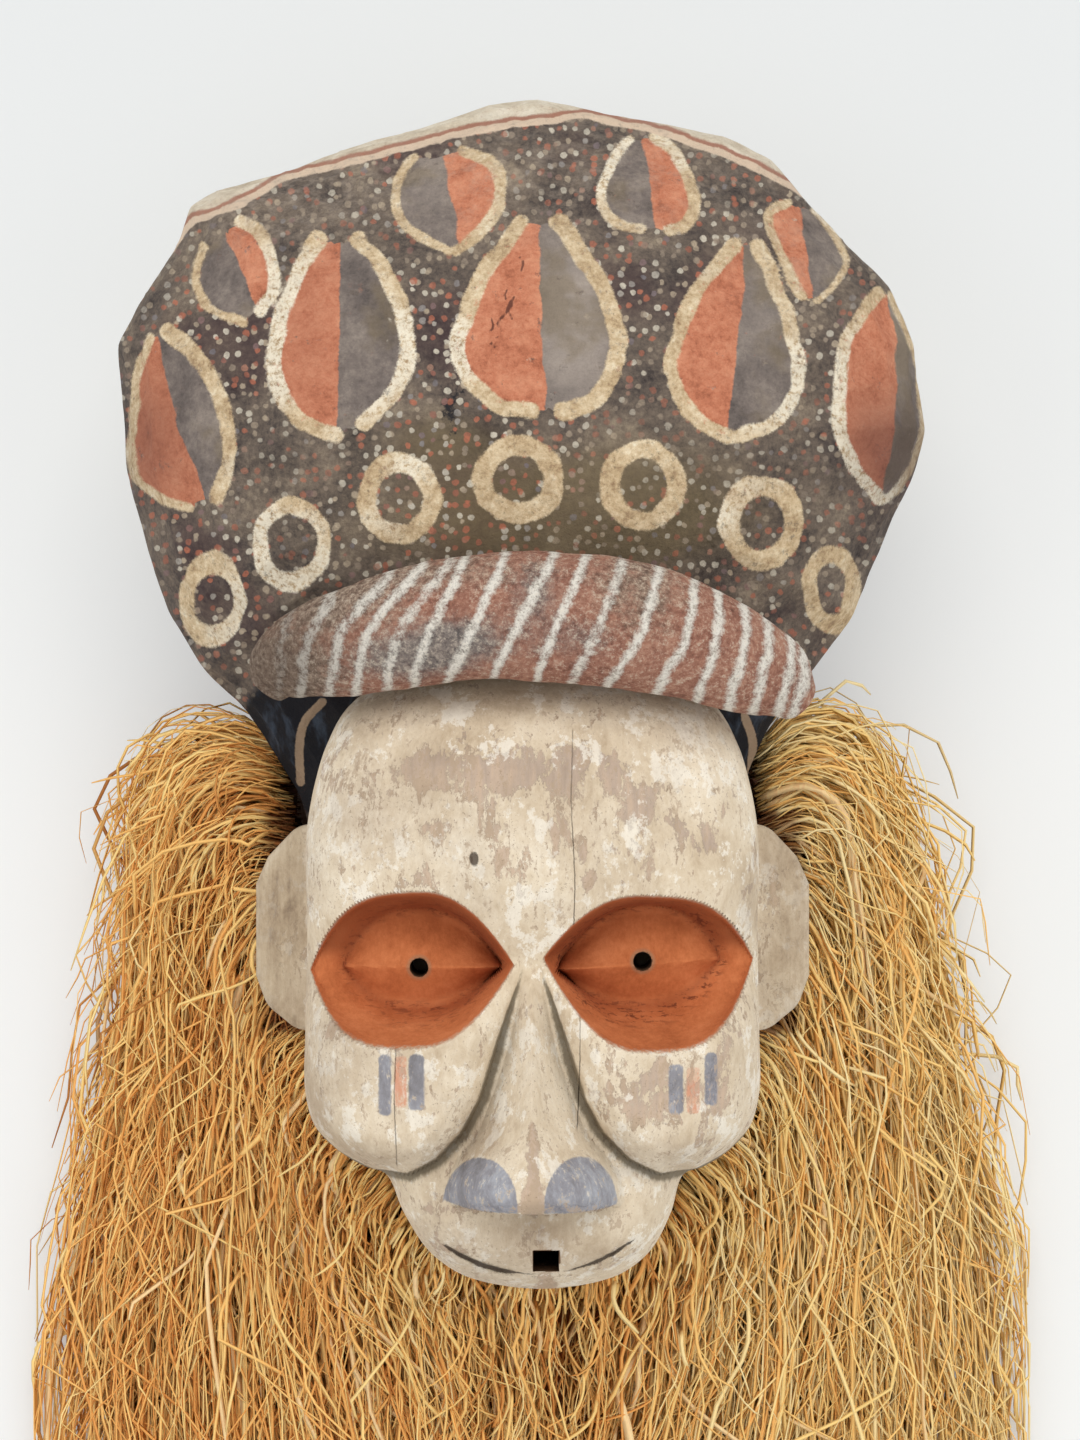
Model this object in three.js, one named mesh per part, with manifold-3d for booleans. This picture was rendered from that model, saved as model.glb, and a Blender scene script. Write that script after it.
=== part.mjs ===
// A Yaka mask lying on its back: a carved wooden face, a hollow cloth cap, a stuffed brow roll
// and hanks of raffia. Millimetres. +Z is the way the face looks, +Y runs to the crown.
// Sizes along Y are measured from the underside of the chin.

import * as THREE from 'three';
import Module from 'manifold-3d';
import { mergeVertices } from 'three/addons/utils/BufferGeometryUtils.js';

const wasm = await Module();
wasm.setup();

const clearance = 0.4; // between neighbouring pieces

const face = {
  centre: [0, 118], // the bridge of the nose, from which the carving is laid out
  rim: 74, // height of the back edge above the surface that the mask lies on
  wall: 9,
  sideEdge: 150, // height where the front rounds into the side walls
  shoulder: 8, // the front keeps at least this far above the side edge
  edgeRound: 24,
  roundPower: 2.2,
  crossCurve: 0.0026,
  cheekTuck: 8, // how far the cheeks overhang the sides behind them
  tuckMiddle: 60,
  tuckSpread: 17,
  tuckStart: 9, // below the side edge the overhang begins, and it is full further down
  tuckEnd: 22,
};
const jaw = { lean: 3.2, upTo: 70 }; // the jaw sits a little to the right of the middle of the eyes
const faceHollowRoom = {
  ceiling: 16, // wood over the hollow
  socketWood: 24, // more wood round the eye sockets
  socketReach: 58,
  cornerDrop: 16,
  wallTop: 12,
  below: 5, // how far the cutting shape passes the rim
};

// Half of the front outline, from the chin to the brow.
const faceOutline = [
  [0, -1], [16, 0.5], [31, 5], [43, 14], [52, 29], [58, 44], [66, 47], [76, 53], [84.5, 62],
  [88.5, 76], [88.5, 100], [88, 140], [88, 178], [84, 200],
  [80, 212], [72, 226], [56, 237], [28, 243], [0, 244],
];
const spineHeights = [
  [-2, 164], [5, 176], [16, 183], [34, 187], [60, 186], [90, 187], [112, 189], [128, 189], [142, 195],
  [160, 200], [185, 199], [205, 194], [225, 184], [244, 168],
];

const cheek = {
  rise: 19,
  edge: 13, // width of the rounding at the lobe's border
  top: 131,
  fade: 36, // the lobes run out into the sockets over this length
  sideRound: 16,
  border: [
    [6, 130], [9, 110], [13.5, 93], [19, 77], [26, 64.5],
    [36, 54], [48, 47.5], [62, 46.5], [76, 53], [92, 68],
  ],
};

const nose = {
  ridge: [[30, 212], [37, 217], [44, 222], [55, 219], [72, 212], [92, 204], [112, 196], [130, 188]],
  halfWidth: [
    [30, 31], [40, 33.5], [48, 32.5], [55, 28], [64, 21],
    [76, 16], [92, 10.5], [108, 6.5], [130, 3],
  ],
  top: 130,
  base: 37.5,
  baseCurve: 0.0032,
  baseStep: 3,
  wings: { at: 44, over: 30, full: 2.6, slim: 1.15 }, // section from full wings to a slim bridge
};

// Each eye is a lens-shaped socket with a smaller, ridged lens left standing in it. The
// socket's long line tilts and bends apart from the ridge of the lens.
const eyes = [
  {
    side: -1, x: 46.4, y: 126.2, tilt: -0.05, bend: 2.2, grow: 1.03,
    ridgeY: 126.2, ridgeTilt: 0, pupilX: 43.5, pupilY: 125.8,
  },
  {
    side: 1, x: 44.9, y: 129.6, tilt: -0.03, bend: -2.6, grow: 1.06,
    ridgeY: 127.4, ridgeTilt: 0.06, pupilX: 42.4, pupilY: 128.2,
  },
];
const socketRings = [
  { shift: 0, half: 38.5, up: 27.5, down: 30.5, depth: 0 },
  { shift: 1.6, half: 36.3, up: 24.5, down: 24, depth: 13 },
  { shift: -4, half: 29, up: 22.5, down: 16.5, depth: 25 },
  { shift: -4, half: 20.5, up: 12, down: 8.5, depth: 18 },
  { shift: -4, half: 27, up: 0.6, down: 0.6, depth: 14 },
];
const lens = { round: 2.9, point: 2.1, bow: 0.1, bowFrom: 30, corners: 26, rimIn: 12, levelAt: 30 };
const pupilRadius = 3.6;
const cutTop = 240; // cutting shapes reach up to here, clear of the face

const mouth = {
  x: 5.3, y: 14.7, width: 9.9, height: 9.2, // the square hole
  slitHalf: 35, slitEnds: 21, slitSag: 13, slitWidth: 2.6, slitFloor: 164, slitDepth: 60,
};

const ear = {
  thickness: 12,
  bevel: 2,
  root: 80, // the plates turn about this distance from the middle
  height: 104,
  turn: 0.16, // the plates lean back from the face
  outline: [[80, 181], [94, 178], [105.5, 166], [110.5, 155], [110.5, 118], [106, 106], [94, 96.5], [80, 95]],
};

const cap = {
  centre: [-4, 326],
  sideHeight: 95, // height of the widest line round the cap
  // height of the front along its middle: it leans back to the crown and in under the roll
  front: [
    [110, 118], [160, 124], [200, 140], [235, 160], [262, 176],
    [300, 186], [350, 181], [420, 166], [480, 150],
  ],
  wall: 7,
  flatShare: 0.74, // share of the back that lies flat
  crownPower: 2.7,
  edgePower: 0.6,
};
// The cap's outline at its widest line: the corners stand over the canes of its frame.
const capOutline = [
  [1, 475.5], [37, 468], [79, 460], [98, 450], [112, 434],
  [127, 417.6], [146, 398], [156.6, 374], [157.5, 358],
  [160.7, 338], [155.4, 319], [142.3, 291.6], [130.5, 262], [116, 243], [99, 222], [87.3, 197], [80, 150],
  [0, 120], [-86, 150], [-94.6, 190], [-104, 204], [-117.5, 225], [-134, 240], [-148, 262], [-156, 284],
  [-166.4, 321.7], [-167.5, 350], [-170.5, 374], [-159, 395],
  [-145, 415], [-140, 431], [-130.5, 437], [-101, 445],
  [-79, 454], [-52.6, 461.6], [-17, 472.6],
];
// The cap is cut off at the neck by a slanting block, lower at the back.
const capMouth = { y: 176, slant: 0.22, block: [500, 300, 600] };

const roll = {
  flatten: 0.86,
  corners: 16,
  steps: 18,
  nose: 4, // how far each rounded end reaches past the path
  // along the roll: x, y, height of the middle, half thickness
  path: [
    [-103, 234, 160, 8], [-98, 240, 163, 13], [-86, 246.5, 172, 17.5],
    [-70, 250.5, 181, 20.5], [-48, 255.5, 189, 22.5],
    [-24, 259.5, 194, 23.5], [3, 260, 196, 24.5], [34, 257, 194, 24.5],
    [58, 251.5, 188, 22.5], [79, 243.5, 179, 19.5],
    [94, 236.5, 169, 15.5], [103, 229, 162, 9],
  ],
};

// Raffia lies in five hanks round the face. Each guide is a lock from its root at the face's rim
// to its tip: x, y, height.
const raffiaGuides = [
  [
    [-96, 226, 92], [-128, 231, 84], [-158, 221, 58], [-171, 192, 40], [-171, 130, 29],
    [-183, 62, 22], [-200, -20, 17], [-203, -110, 12], [-196, -222, 6],
  ],
  [
    [-99, 196, 96], [-124, 200, 104], [-142, 182, 92], [-151, 140, 76], [-153, 90, 66],
    [-158, 30, 56], [-165, -50, 44], [-163, -140, 30], [-158, -238, 8],
  ],
  [
    [-93, 140, 92], [-112, 136, 92], [-122, 115, 88], [-128, 84, 82], [-130, 48, 74],
    [-130, 0, 66], [-128, -70, 52], [-124, -150, 34], [-118, -246, 8],
  ],
  [
    [-82, 94, 90], [-101, 82, 96], [-106, 66, 94], [-107, 42, 88], [-105, 12, 80],
    [-101, -30, 70], [-95, -90, 54], [-88, -160, 36], [-80, -250, 8],
  ],
  [
    [-62, 60, 92], [-83, 38, 99], [-85, 24, 96], [-83, 4, 90], [-78, -24, 80],
    [-72, -60, 68], [-63, -110, 52], [-54, -170, 34], [-46, -246, 8],
  ],
  [
    [-44, 16, 100], [-50, 4, 102], [-51, -9, 98], [-49, -26, 91], [-45, -50, 81],
    [-40, -80, 68], [-33, -125, 52], [-26, -180, 33], [-20, -254, 8],
  ],
  [
    [3, -3, 102], [3, -14, 103], [3, -26, 99], [3, -42, 91], [3, -64, 80],
    [3, -92, 68], [3, -135, 51], [3, -190, 32], [3, -248, 8],
  ],
  [
    [50, 18, 100], [56, 6, 102], [57, -8, 98], [55, -26, 91], [51, -50, 81],
    [46, -80, 68], [38, -125, 52], [31, -180, 33], [25, -256, 8],
  ],
  [
    [66, 60, 92], [87, 40, 99], [90, 26, 96], [88, 4, 90], [83, -24, 80],
    [77, -60, 68], [68, -110, 52], [58, -170, 34], [50, -248, 8],
  ],
  [
    [82, 94, 90], [101, 84, 96], [107, 68, 94], [109, 44, 88], [108, 12, 80],
    [105, -30, 70], [99, -90, 54], [92, -160, 36], [84, -250, 8],
  ],
  [
    [93, 140, 92], [110, 138, 92], [120, 118, 88], [127, 88, 82], [130, 50, 74],
    [131, 0, 66], [130, -70, 52], [127, -150, 34], [121, -242, 8],
  ],
  [
    [97, 190, 96], [116, 198, 104], [132, 184, 92], [143, 146, 76], [150, 92, 66],
    [157, 30, 56], [165, -50, 44], [165, -140, 30], [160, -236, 8],
  ],
  [
    [98, 222, 92], [117, 231, 84], [139, 217, 58], [154, 178, 40], [163, 128, 29],
    [180, 66, 22], [195, -12, 17], [200, -100, 12], [196, -220, 6],
  ],
];
const hanks = [
  { name: 'raffia_temple_left', from: 0, to: 2 },
  { name: 'raffia_cheek_left', from: 2, to: 4.6 },
  { name: 'raffia_chin', from: 4.6, to: 7.4 },
  { name: 'raffia_cheek_right', from: 7.4, to: 10 },
  { name: 'raffia_temple_right', from: 10, to: 12 },
];
const lock = {
  perGuide: 2.4, // ridges from one guide to the next
  rise: 4.5, // relief of a ridge
  tip: 0.05, // share of the length that is pointed
  part: 0.01, // the parting between two hanks, in guides
  rows: 10,
  sway: 0.12,
  swayRate: 7,
  swayShift: 2.3,
  leastHeight: 4,
};

const paint = {
  wood: new THREE.MeshStandardMaterial({ color: 0xcfc3ab, roughness: 0.85, metalness: 0 }),
  cloth: new THREE.MeshStandardMaterial({ color: 0x4b423c, roughness: 0.95, metalness: 0 }),
  roll: new THREE.MeshStandardMaterial({ color: 0x8a5a48, roughness: 0.95, metalness: 0 }),
  raffia: new THREE.MeshStandardMaterial({ color: 0xc8a05f, roughness: 0.8, metalness: 0 }),
};

const clamp = (value, low, high) => Math.min(Math.max(value, low), high);
const mix = (a, b, t) => a + (b - a) * t;
const ease = (t) => {
  const s = clamp(t, 0, 1);
  return s * s * (3 - 2 * s);
};

// A smooth curve through [place, value] pairs in rising order of place.
function curveThrough(pairs, place) {
  const last = pairs.length - 1;
  const x = clamp(place, pairs[0][0], pairs[last][0]);
  let i = 0;
  while (i < last - 1 && x > pairs[i + 1][0]) i += 1;
  const slope = (j) => {
    const a = pairs[Math.max(j - 1, 0)];
    const b = pairs[Math.min(j + 1, last)];
    return (b[1] - a[1]) / (b[0] - a[0]);
  };
  const span = pairs[i + 1][0] - pairs[i][0];
  const t = (x - pairs[i][0]) / span;
  const rise = pairs[i + 1][1] - pairs[i][1];
  return pairs[i][1] + t * t * (3 - 2 * t) * rise
    + span * t * (1 - t) * ((1 - t) * slope(i) - t * slope(i + 1));
}

// A closed mesh from rings of equal length. A ring of one point is a pole.
function loft(rings) {
  const positions = rings.flat(2);
  const starts = [];
  rings.reduce((start, ring) => {
    starts.push(start);
    return start + ring.length;
  }, 0);
  const index = [];
  for (let r = 0; r + 1 < rings.length; r += 1) {
    const count = Math.max(rings[r].length, rings[r + 1].length);
    for (let i = 0; i < count; i += 1) {
      const j = (i + 1) % count;
      const here = (k) => starts[r] + (rings[r].length > 1 ? k : 0);
      const next = (k) => starts[r + 1] + (rings[r + 1].length > 1 ? k : 0);
      if (rings[r].length > 1) index.push(here(i), here(j), next(j));
      if (rings[r + 1].length > 1) index.push(here(i), next(j), next(i));
    }
  }
  const geometry = new THREE.BufferGeometry();
  geometry.setAttribute('position', new THREE.Float32BufferAttribute(positions, 3));
  geometry.setIndex(index);
  return geometry;
}

function volumeOf(positions, index) {
  const corner = (i) => new THREE.Vector3().fromArray(positions, 3 * index[i]);
  let volume = 0;
  for (let i = 0; i < index.length; i += 3) volume += corner(i).dot(corner(i + 1).cross(corner(i + 2))) / 6;
  return volume;
}

// A geometry as a solid for cutting and joining, its faces turned out.
function solidOf(source) {
  const bare = source.clone();
  bare.deleteAttribute('normal');
  bare.deleteAttribute('uv');
  const merged = mergeVertices(bare, 1e-4);
  const positions = merged.attributes.position.array;
  const index = Array.from(merged.index.array);
  if (volumeOf(positions, index) < 0) index.reverse();
  return new wasm.Manifold(new wasm.Mesh({
    numProp: 3,
    vertProperties: new Float32Array(positions),
    triVerts: new Uint32Array(index),
  }));
}

// The largest body of a cut solid, without the crumbs that a cut may leave.
function largestBody(solid) {
  const size = (body) => volumeOf(body.getMesh().vertProperties, body.getMesh().triVerts);
  return solid.decompose().sort((a, b) => size(b) - size(a))[0];
}

function geometryOf(solid) {
  const mesh = solid.getMesh();
  const geometry = new THREE.BufferGeometry();
  geometry.setAttribute('position', new THREE.BufferAttribute(mesh.vertProperties, 3));
  geometry.setIndex(Array.from(mesh.triVerts));
  geometry.computeVertexNormals();
  return geometry;
}

function boxSolid(size, centre, turnX = 0) {
  return solidOf(new THREE.BoxGeometry(...size).rotateX(turnX).translate(...centre));
}

// Signed distance from a point to a line of corners, positive on the line's left.
function sideOfLine(line, x, y) {
  let best = Infinity;
  let sign = 1;
  for (let i = 0; i + 1 < line.length; i += 1) {
    const [ax, ay] = line[i];
    const [dx, dy] = [line[i + 1][0] - ax, line[i + 1][1] - ay];
    const t = clamp(((x - ax) * dx + (y - ay) * dy) / (dx * dx + dy * dy), 0, 1);
    const distance = Math.hypot(x - ax - t * dx, y - ay - t * dy);
    if (distance < best - 1e-6) {
      best = distance;
      sign = Math.sign(dx * (y - ay) - dy * (x - ax));
    }
  }
  return best * sign;
}

// The wood before carving: a smooth blank that rounds off towards its outline.
function blankHeight(x, y, toEdge) {
  const edge = 1 - clamp(toEdge / face.edgeRound, 0, 1);
  const spine = curveThrough(spineHeights, y);
  const crossed = Math.max(spine - face.crossCurve * x * x, face.sideEdge + face.shoulder);
  return mix(face.sideEdge, crossed, Math.sqrt(1 - edge ** face.roundPower));
}

function cheekRise(x, y) {
  const inside = clamp(sideOfLine(cheek.border, Math.abs(x), y) / cheek.edge, 0, 1);
  return cheek.rise * Math.sqrt(1 - (1 - inside) ** 2) * ease((cheek.top - y) / cheek.fade);
}

function noseHeight(x, y, blank) {
  const halfWidth = curveThrough(nose.halfWidth, y);
  const base = nose.base + nose.baseCurve * x * x;
  const across = Math.abs(x) / halfWidth;
  if (across >= 1 || y > nose.top) return blank;
  const { at, over, full, slim } = nose.wings;
  const fullness = mix(full, slim, ease((y - at) / over));
  const crest = curveThrough(nose.ridge, y) - blank;
  return blank + crest * (1 - across ** fullness) * ease((y - base) / nose.baseStep + 0.5);
}

// Height of the carved front, before the eyes are cut.
function frontHeight(x, y, toEdge) {
  const blank = blankHeight(x, y, toEdge);
  const rounded = Math.sqrt(1 - (1 - clamp(toEdge / cheek.sideRound, 0, 1)) ** 2);
  return Math.max(blank + cheekRise(x, y) * rounded, noseHeight(x, y, blank));
}

// Points round the whole face outline, closer together over the jaw and cheeks.
function outlinePoints(lowStep, highStep) {
  const right = faceOutline.map(([x, y]) => new THREE.Vector3(x, y, 0));
  const left = faceOutline.slice(1, -1).reverse().map(([x, y]) => new THREE.Vector3(-x, y, 0));
  const dense = new THREE.CatmullRomCurve3([...right, ...left], true, 'centripetal').getSpacedPoints(1600);
  const points = [];
  let walked = 0;
  for (let i = 0; i + 1 < dense.length; i += 1) {
    if (walked <= 0) {
      points.push([dense[i].x, dense[i].y]);
      walked += dense[i].y < 100 ? lowStep : highStep;
    }
    walked -= dense[i].distanceTo(dense[i + 1]);
  }
  return points;
}

const jawLean = (y) => jaw.lean * (1 - ease(y / jaw.upTo));

function towardsCentre([x, y], amount) {
  const [cx, cy] = face.centre;
  const reach = Math.hypot(x - cx, y - cy);
  return [x + ((cx - x) * amount) / reach, y + ((cy - y) * amount) / reach];
}

const cheekBand = (y) => Math.exp(-(((y - face.tuckMiddle) / face.tuckSpread) ** 2));

// The outside of the face: its front, drawn as rings about the bridge, and the walls behind.
function faceBlock(grow = 0) {
  const shares = [
    0.07, 0.14, 0.21, 0.28, 0.35, 0.42, 0.49, 0.55, 0.61, 0.665, 0.715, 0.76, 0.805, 0.85, 0.89, 0.925, 0.955,
    0.98, 1,
  ];
  const outline = outlinePoints(7.8, 14);
  const [cx, cy] = face.centre;
  const rings = shares.map((share) => outline.map(([ox, oy]) => {
    const [x, y] = [mix(cx, ox, share), mix(cy, oy, share)];
    const toEdge = (1 - share) * Math.hypot(ox - cx, oy - cy);
    const spread = share * grow;
    const [px, py] = towardsCentre([x, y], -spread);
    return [px + jawLean(y), py, frontHeight(x, y, toEdge) + grow];
  }));
  const wallRing = (tuck, height) => outline.map((point) => {
    const [x, y] = towardsCentre(point, tuck * cheekBand(point[1]) - grow);
    return [x + jawLean(point[1]), y, height];
  });
  const top = frontHeight(cx, cy, Infinity) + grow;
  return solidOf(loft([
    [[cx, cy, top]],
    ...rings,
    wallRing(1, face.sideEdge - face.tuckStart),
    wallRing(face.cheekTuck, face.sideEdge - face.tuckEnd),
    wallRing(face.cheekTuck, face.rim - grow),
    [[cx, cy, face.rim - grow]],
  ]));
}

// The hollow behind the face, shallower where the eye sockets are cut from the front.
function faceHollow() {
  const outline = outlinePoints(22, 30);
  const [cx, cy] = face.centre;
  const room = faceHollowRoom;
  const ceiling = (x, y) => {
    const nearEye = (eye) => {
      const away = Math.hypot(x - eye.side * eye.x, y - eye.y);
      return Math.exp(-((away / room.socketReach) ** 4));
    };
    return blankHeight(x, y, Infinity) - room.ceiling - room.socketWood * Math.max(...eyes.map(nearEye));
  };
  const inner = (point) => towardsCentre(point, face.wall + face.cheekTuck * cheekBand(point[1]));
  const rings = [0.3, 0.55, 0.76, 0.9].map((share) => outline.map((point) => {
    const [ix, iy] = inner(point);
    const [x, y] = [mix(cx, ix, share), mix(cy, iy, share)];
    return [x + jawLean(y), y, ceiling(x, y) - room.cornerDrop * share ** 5];
  }));
  const wallRing = (height) => outline.map((point) => {
    const [x, y] = inner(point);
    return [x + jawLean(point[1]), y, height];
  });
  return solidOf(loft([
    [[cx, cy, ceiling(cx, cy)]],
    ...rings,
    wallRing(face.sideEdge - room.wallTop),
    wallRing(face.rim - room.below),
    [[cx, cy, face.rim - room.below]],
  ]));
}

// One point on a lens outline, with round outer and pointed inner corners.
function lensPoint(eye, ring, turn) {
  const along = Math.cos(turn);
  const outer = ring.half > lens.bowFrom;
  const bow = outer ? lens.bow : 0;
  const power = along > -bow ? lens.round : lens.point;
  const span = along > -bow ? (along + bow) / (1 + bow) : (along + bow) / (1 - bow);
  const reach = (Math.sin(turn) >= 0 ? ring.up : -ring.down) + (outer ? eye.bend : 0);
  const u = eye.grow * ring.half * along + ring.shift;
  const line = outer ? eye.y + eye.tilt * u : eye.ridgeY + eye.ridgeTilt * u;
  return [eye.side * (eye.x + u), line + reach * (1 - Math.abs(span) ** power)];
}

function socketCutter(eye) {
  const count = lens.corners;
  const turns = Array.from({ length: count }, (_, i) => ((i + 0.5) * 2 * Math.PI) / count);
  const crown = frontHeight(eye.side * eye.x, eye.y, Infinity);
  const open = turns.map((turn) => lensPoint(eye, socketRings[0], turn));
  const rings = socketRings.map((ring) => turns.map((turn) => {
    const [x, y] = lensPoint(eye, ring, turn);
    const rim = lensPoint(eye, socketRings[0], turn);
    const surface = mix(frontHeight(rim[0], rim[1], lens.rimIn), crown, ring.depth / lens.levelAt);
    return [x, y, surface - ring.depth];
  }));
  const ridge = rings[rings.length - 1];
  const middle = ridge.reduce((sum, point) => sum + point[2] / count, 0);
  const { shift } = socketRings[socketRings.length - 1];
  return solidOf(loft([
    [[eye.side * eye.x, eye.y, cutTop]],
    open.map(([x, y]) => [x, y, cutTop]),
    ...rings,
    [[eye.side * (eye.x + shift), eye.ridgeY, middle]],
  ]));
}

function pupilHole(eye) {
  const length = cutTop - face.rim;
  const hole = new THREE.CylinderGeometry(pupilRadius, pupilRadius, length, 12).rotateX(Math.PI / 2);
  return solidOf(hole.translate(eye.side * eye.pupilX, eye.pupilY, (cutTop + face.rim) / 2));
}

// The lips part along a thin smile that runs through the square hole.
function mouthSlit() {
  const line = new THREE.Shape();
  const { slitHalf, slitEnds, slitSag, slitWidth, slitFloor, slitDepth } = mouth;
  const low = slitEnds - 2 * slitSag;
  line.moveTo(-slitHalf, slitEnds);
  line.quadraticCurveTo(0, low, slitHalf, slitEnds);
  line.quadraticCurveTo(0, low + 2 * slitWidth, -slitHalf, slitEnds);
  const slab = new THREE.ExtrudeGeometry(line, { depth: slitDepth, bevelEnabled: false, curveSegments: 7 });
  return solidOf(slab.translate(jawLean(0), 0, slitFloor));
}

function earPlate(side) {
  const shape = new THREE.Shape(ear.outline.map(([x, y]) => new THREE.Vector2(x, y)));
  const plate = new THREE.ExtrudeGeometry(shape, {
    depth: ear.thickness - 2 * ear.bevel,
    bevelThickness: ear.bevel,
    bevelSize: ear.bevel,
    bevelOffset: -ear.bevel,
    bevelSegments: 1,
  });
  plate.translate(-ear.root, 0, 0).rotateY(ear.turn).translate(ear.root, 0, ear.height);
  return solidOf(side > 0 ? plate : plate.scale(-1, 1, 1));
}

function carvedFace() {
  const middle = (cutTop + face.rim) / 2;
  const mouthHole = boxSolid([mouth.width, mouth.height, cutTop - face.rim], [mouth.x, mouth.y, middle]);
  let wood = faceBlock().add(earPlate(-1)).add(earPlate(1));
  wood = wood.subtract(faceHollow()).subtract(mouthHole).subtract(mouthSlit());
  eyes.forEach((eye) => {
    wood = wood.subtract(socketCutter(eye)).subtract(pupilHole(eye));
  });
  return largestBody(wood);
}

// The cap is a pillow laid on its back: rings out over the front to the widest line, and in
// over the back to a flat. Inset gives the inside of its wall.
function capPillow(inset) {
  const [cx, cy] = cap.centre;
  const frontShares = [0.32, 0.58, 0.78, 0.9, 0.965, 1];
  const backShares = [[0.985, 58], [0.93, 26], [0.86, 8], [cap.flatShare, 0]];
  const frontHeightAt = (share, y) => {
    const middle = curveThrough(cap.front, y);
    return mix(cap.sideHeight, middle, (1 - share ** cap.crownPower) ** cap.edgePower) - inset;
  };
  const ring = (share, height) => capOutline.map(([ox, oy]) => {
    const reach = Math.hypot(ox - cx, oy - cy);
    const kept = share * (1 - inset / reach);
    const [x, y] = [mix(cx, ox, kept), mix(cy, oy, kept)];
    return [x, y, height(share, y)];
  });
  return solidOf(loft([
    [[cx, cy, frontHeightAt(0, cy)]],
    ...frontShares.map((share) => ring(share, (s, y) => (s === 1 ? cap.sideHeight : frontHeightAt(s, y)))),
    ...backShares.map(([share, height]) => {
      const level = height + inset * (1 - height / cap.sideHeight);
      return ring(share, () => level);
    }),
    [[cx, cy, inset]],
  ]));
}

function capSolid() {
  const middle = [0, capMouth.y - capMouth.block[1] / 2, cap.sideHeight];
  const cutter = boxSolid(capMouth.block, middle, -capMouth.slant);
  const shell = capPillow(0).subtract(capPillow(cap.wall));
  return largestBody(shell.subtract(cutter).subtract(faceBlock(clearance)));
}

function rollSolid() {
  const count = roll.corners;
  const middle = new THREE.CatmullRomCurve3(roll.path.map(([x, y, z]) => new THREE.Vector3(x, y, z)));
  const rings = Array.from({ length: roll.steps + 1 }, (_, i) => {
    const t = i / roll.steps;
    const at = middle.getPoint(t);
    const along = middle.getTangent(t);
    const sideways = new THREE.Vector3(-along.y, along.x, 0).normalize();
    const outward = new THREE.Vector3().crossVectors(along, sideways);
    const place = t * (roll.path.length - 1);
    const thickness = curveThrough(roll.path.map((row, k) => [k, row[3]]), place);
    return Array.from({ length: count }, (__, k) => {
      const turn = (2 * Math.PI * k) / count;
      const reach = at.clone()
        .addScaledVector(sideways, thickness * Math.cos(turn))
        .addScaledVector(outward, thickness * roll.flatten * Math.sin(turn));
      return reach.toArray();
    });
  });
  const end = (t, sign) => {
    const reach = sign * roll.nose;
    return middle.getPoint(t).addScaledVector(middle.getTangent(t), reach).toArray();
  };
  const whole = solidOf(loft([[end(0, -1)], ...rings, [end(1, 1)]]));
  return largestBody(whole.subtract(capPillow(-clearance)).subtract(faceBlock(clearance)));
}

function guidePoint(t, s) {
  const at = (k) => {
    const corners = raffiaGuides[k].map((corner) => new THREE.Vector3(...corner));
    return new THREE.CatmullRomCurve3(corners).getPoint(s);
  };
  const low = Math.min(Math.floor(t), raffiaGuides.length - 2);
  return at(low).lerp(at(low + 1), t - low);
}

// A hank lies on the surface with its locks as ridges along the top, each ending in its own tip.
function hankSolid({ from, to }) {
  const columns = 2 * Math.round((to - from) * lock.perGuide);
  const { rows } = lock;
  const top = [];
  const bottom = [];
  for (let row = 0; row <= rows; row += 1) {
    const s = row / rows;
    for (let column = 0; column <= columns; column += 1) {
      const ridge = column % 2 === 1 ? 1 : 0;
      const t = clamp(mix(from, to, column / columns), from + lock.part, to - lock.part);
      const outer = column === 0 || column === columns;
      const sway = outer ? 0 : lock.sway * Math.sin(lock.swayRate * s + lock.swayShift * t);
      const reach = ridge ? s : s * (1 - lock.tip * s);
      const at = guidePoint(clamp(t + sway, from, to), reach);
      const relief = lock.rise * (ridge - 0.5) * Math.sin(Math.PI * Math.min(s * 2.5, 1) * 0.5);
      top.push([at.x, at.y, Math.max(at.z + relief, lock.leastHeight)]);
      bottom.push([at.x, at.y, 0]);
    }
  }
  const width = columns + 1;
  const corner = (row, column) => row * width + column;
  const rim = [];
  for (let column = 0; column < columns; column += 1) rim.push(corner(0, column));
  for (let row = 0; row < rows; row += 1) rim.push(corner(row, columns));
  for (let column = columns; column > 0; column -= 1) rim.push(corner(rows, column));
  for (let row = rows; row > 0; row -= 1) rim.push(corner(row, 0));
  const index = [];
  const below = top.length;
  for (let row = 0; row < rows; row += 1) {
    for (let column = 0; column < columns; column += 1) {
      const [a, b] = [corner(row, column), corner(row, column + 1)];
      const [c, d] = [corner(row + 1, column + 1), corner(row + 1, column)];
      index.push(a, b, c, a, c, d, below + a, below + c, below + b, below + a, below + d, below + c);
    }
  }
  rim.forEach((here, i) => {
    const next = rim[(i + 1) % rim.length];
    index.push(here, below + here, below + next, here, below + next, next);
  });
  const geometry = new THREE.BufferGeometry();
  geometry.setAttribute('position', new THREE.Float32BufferAttribute([...top, ...bottom].flat(), 3));
  geometry.setIndex(index);
  return geometry;
}

const mask = new THREE.Group();

function addPiece(name, solid, material) {
  const mesh = new THREE.Mesh(geometryOf(solid), material);
  mesh.name = name;
  mask.add(mesh);
}

addPiece('face', carvedFace(), paint.wood);
addPiece('headdress', capSolid(), paint.cloth);
addPiece('brow_roll', rollSolid(), paint.roll);
hanks.forEach((hank) => {
  const body = solidOf(hankSolid(hank)).subtract(faceBlock(clearance)).subtract(capPillow(-clearance));
  addPiece(hank.name, largestBody(body), paint.raffia);
});

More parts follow.
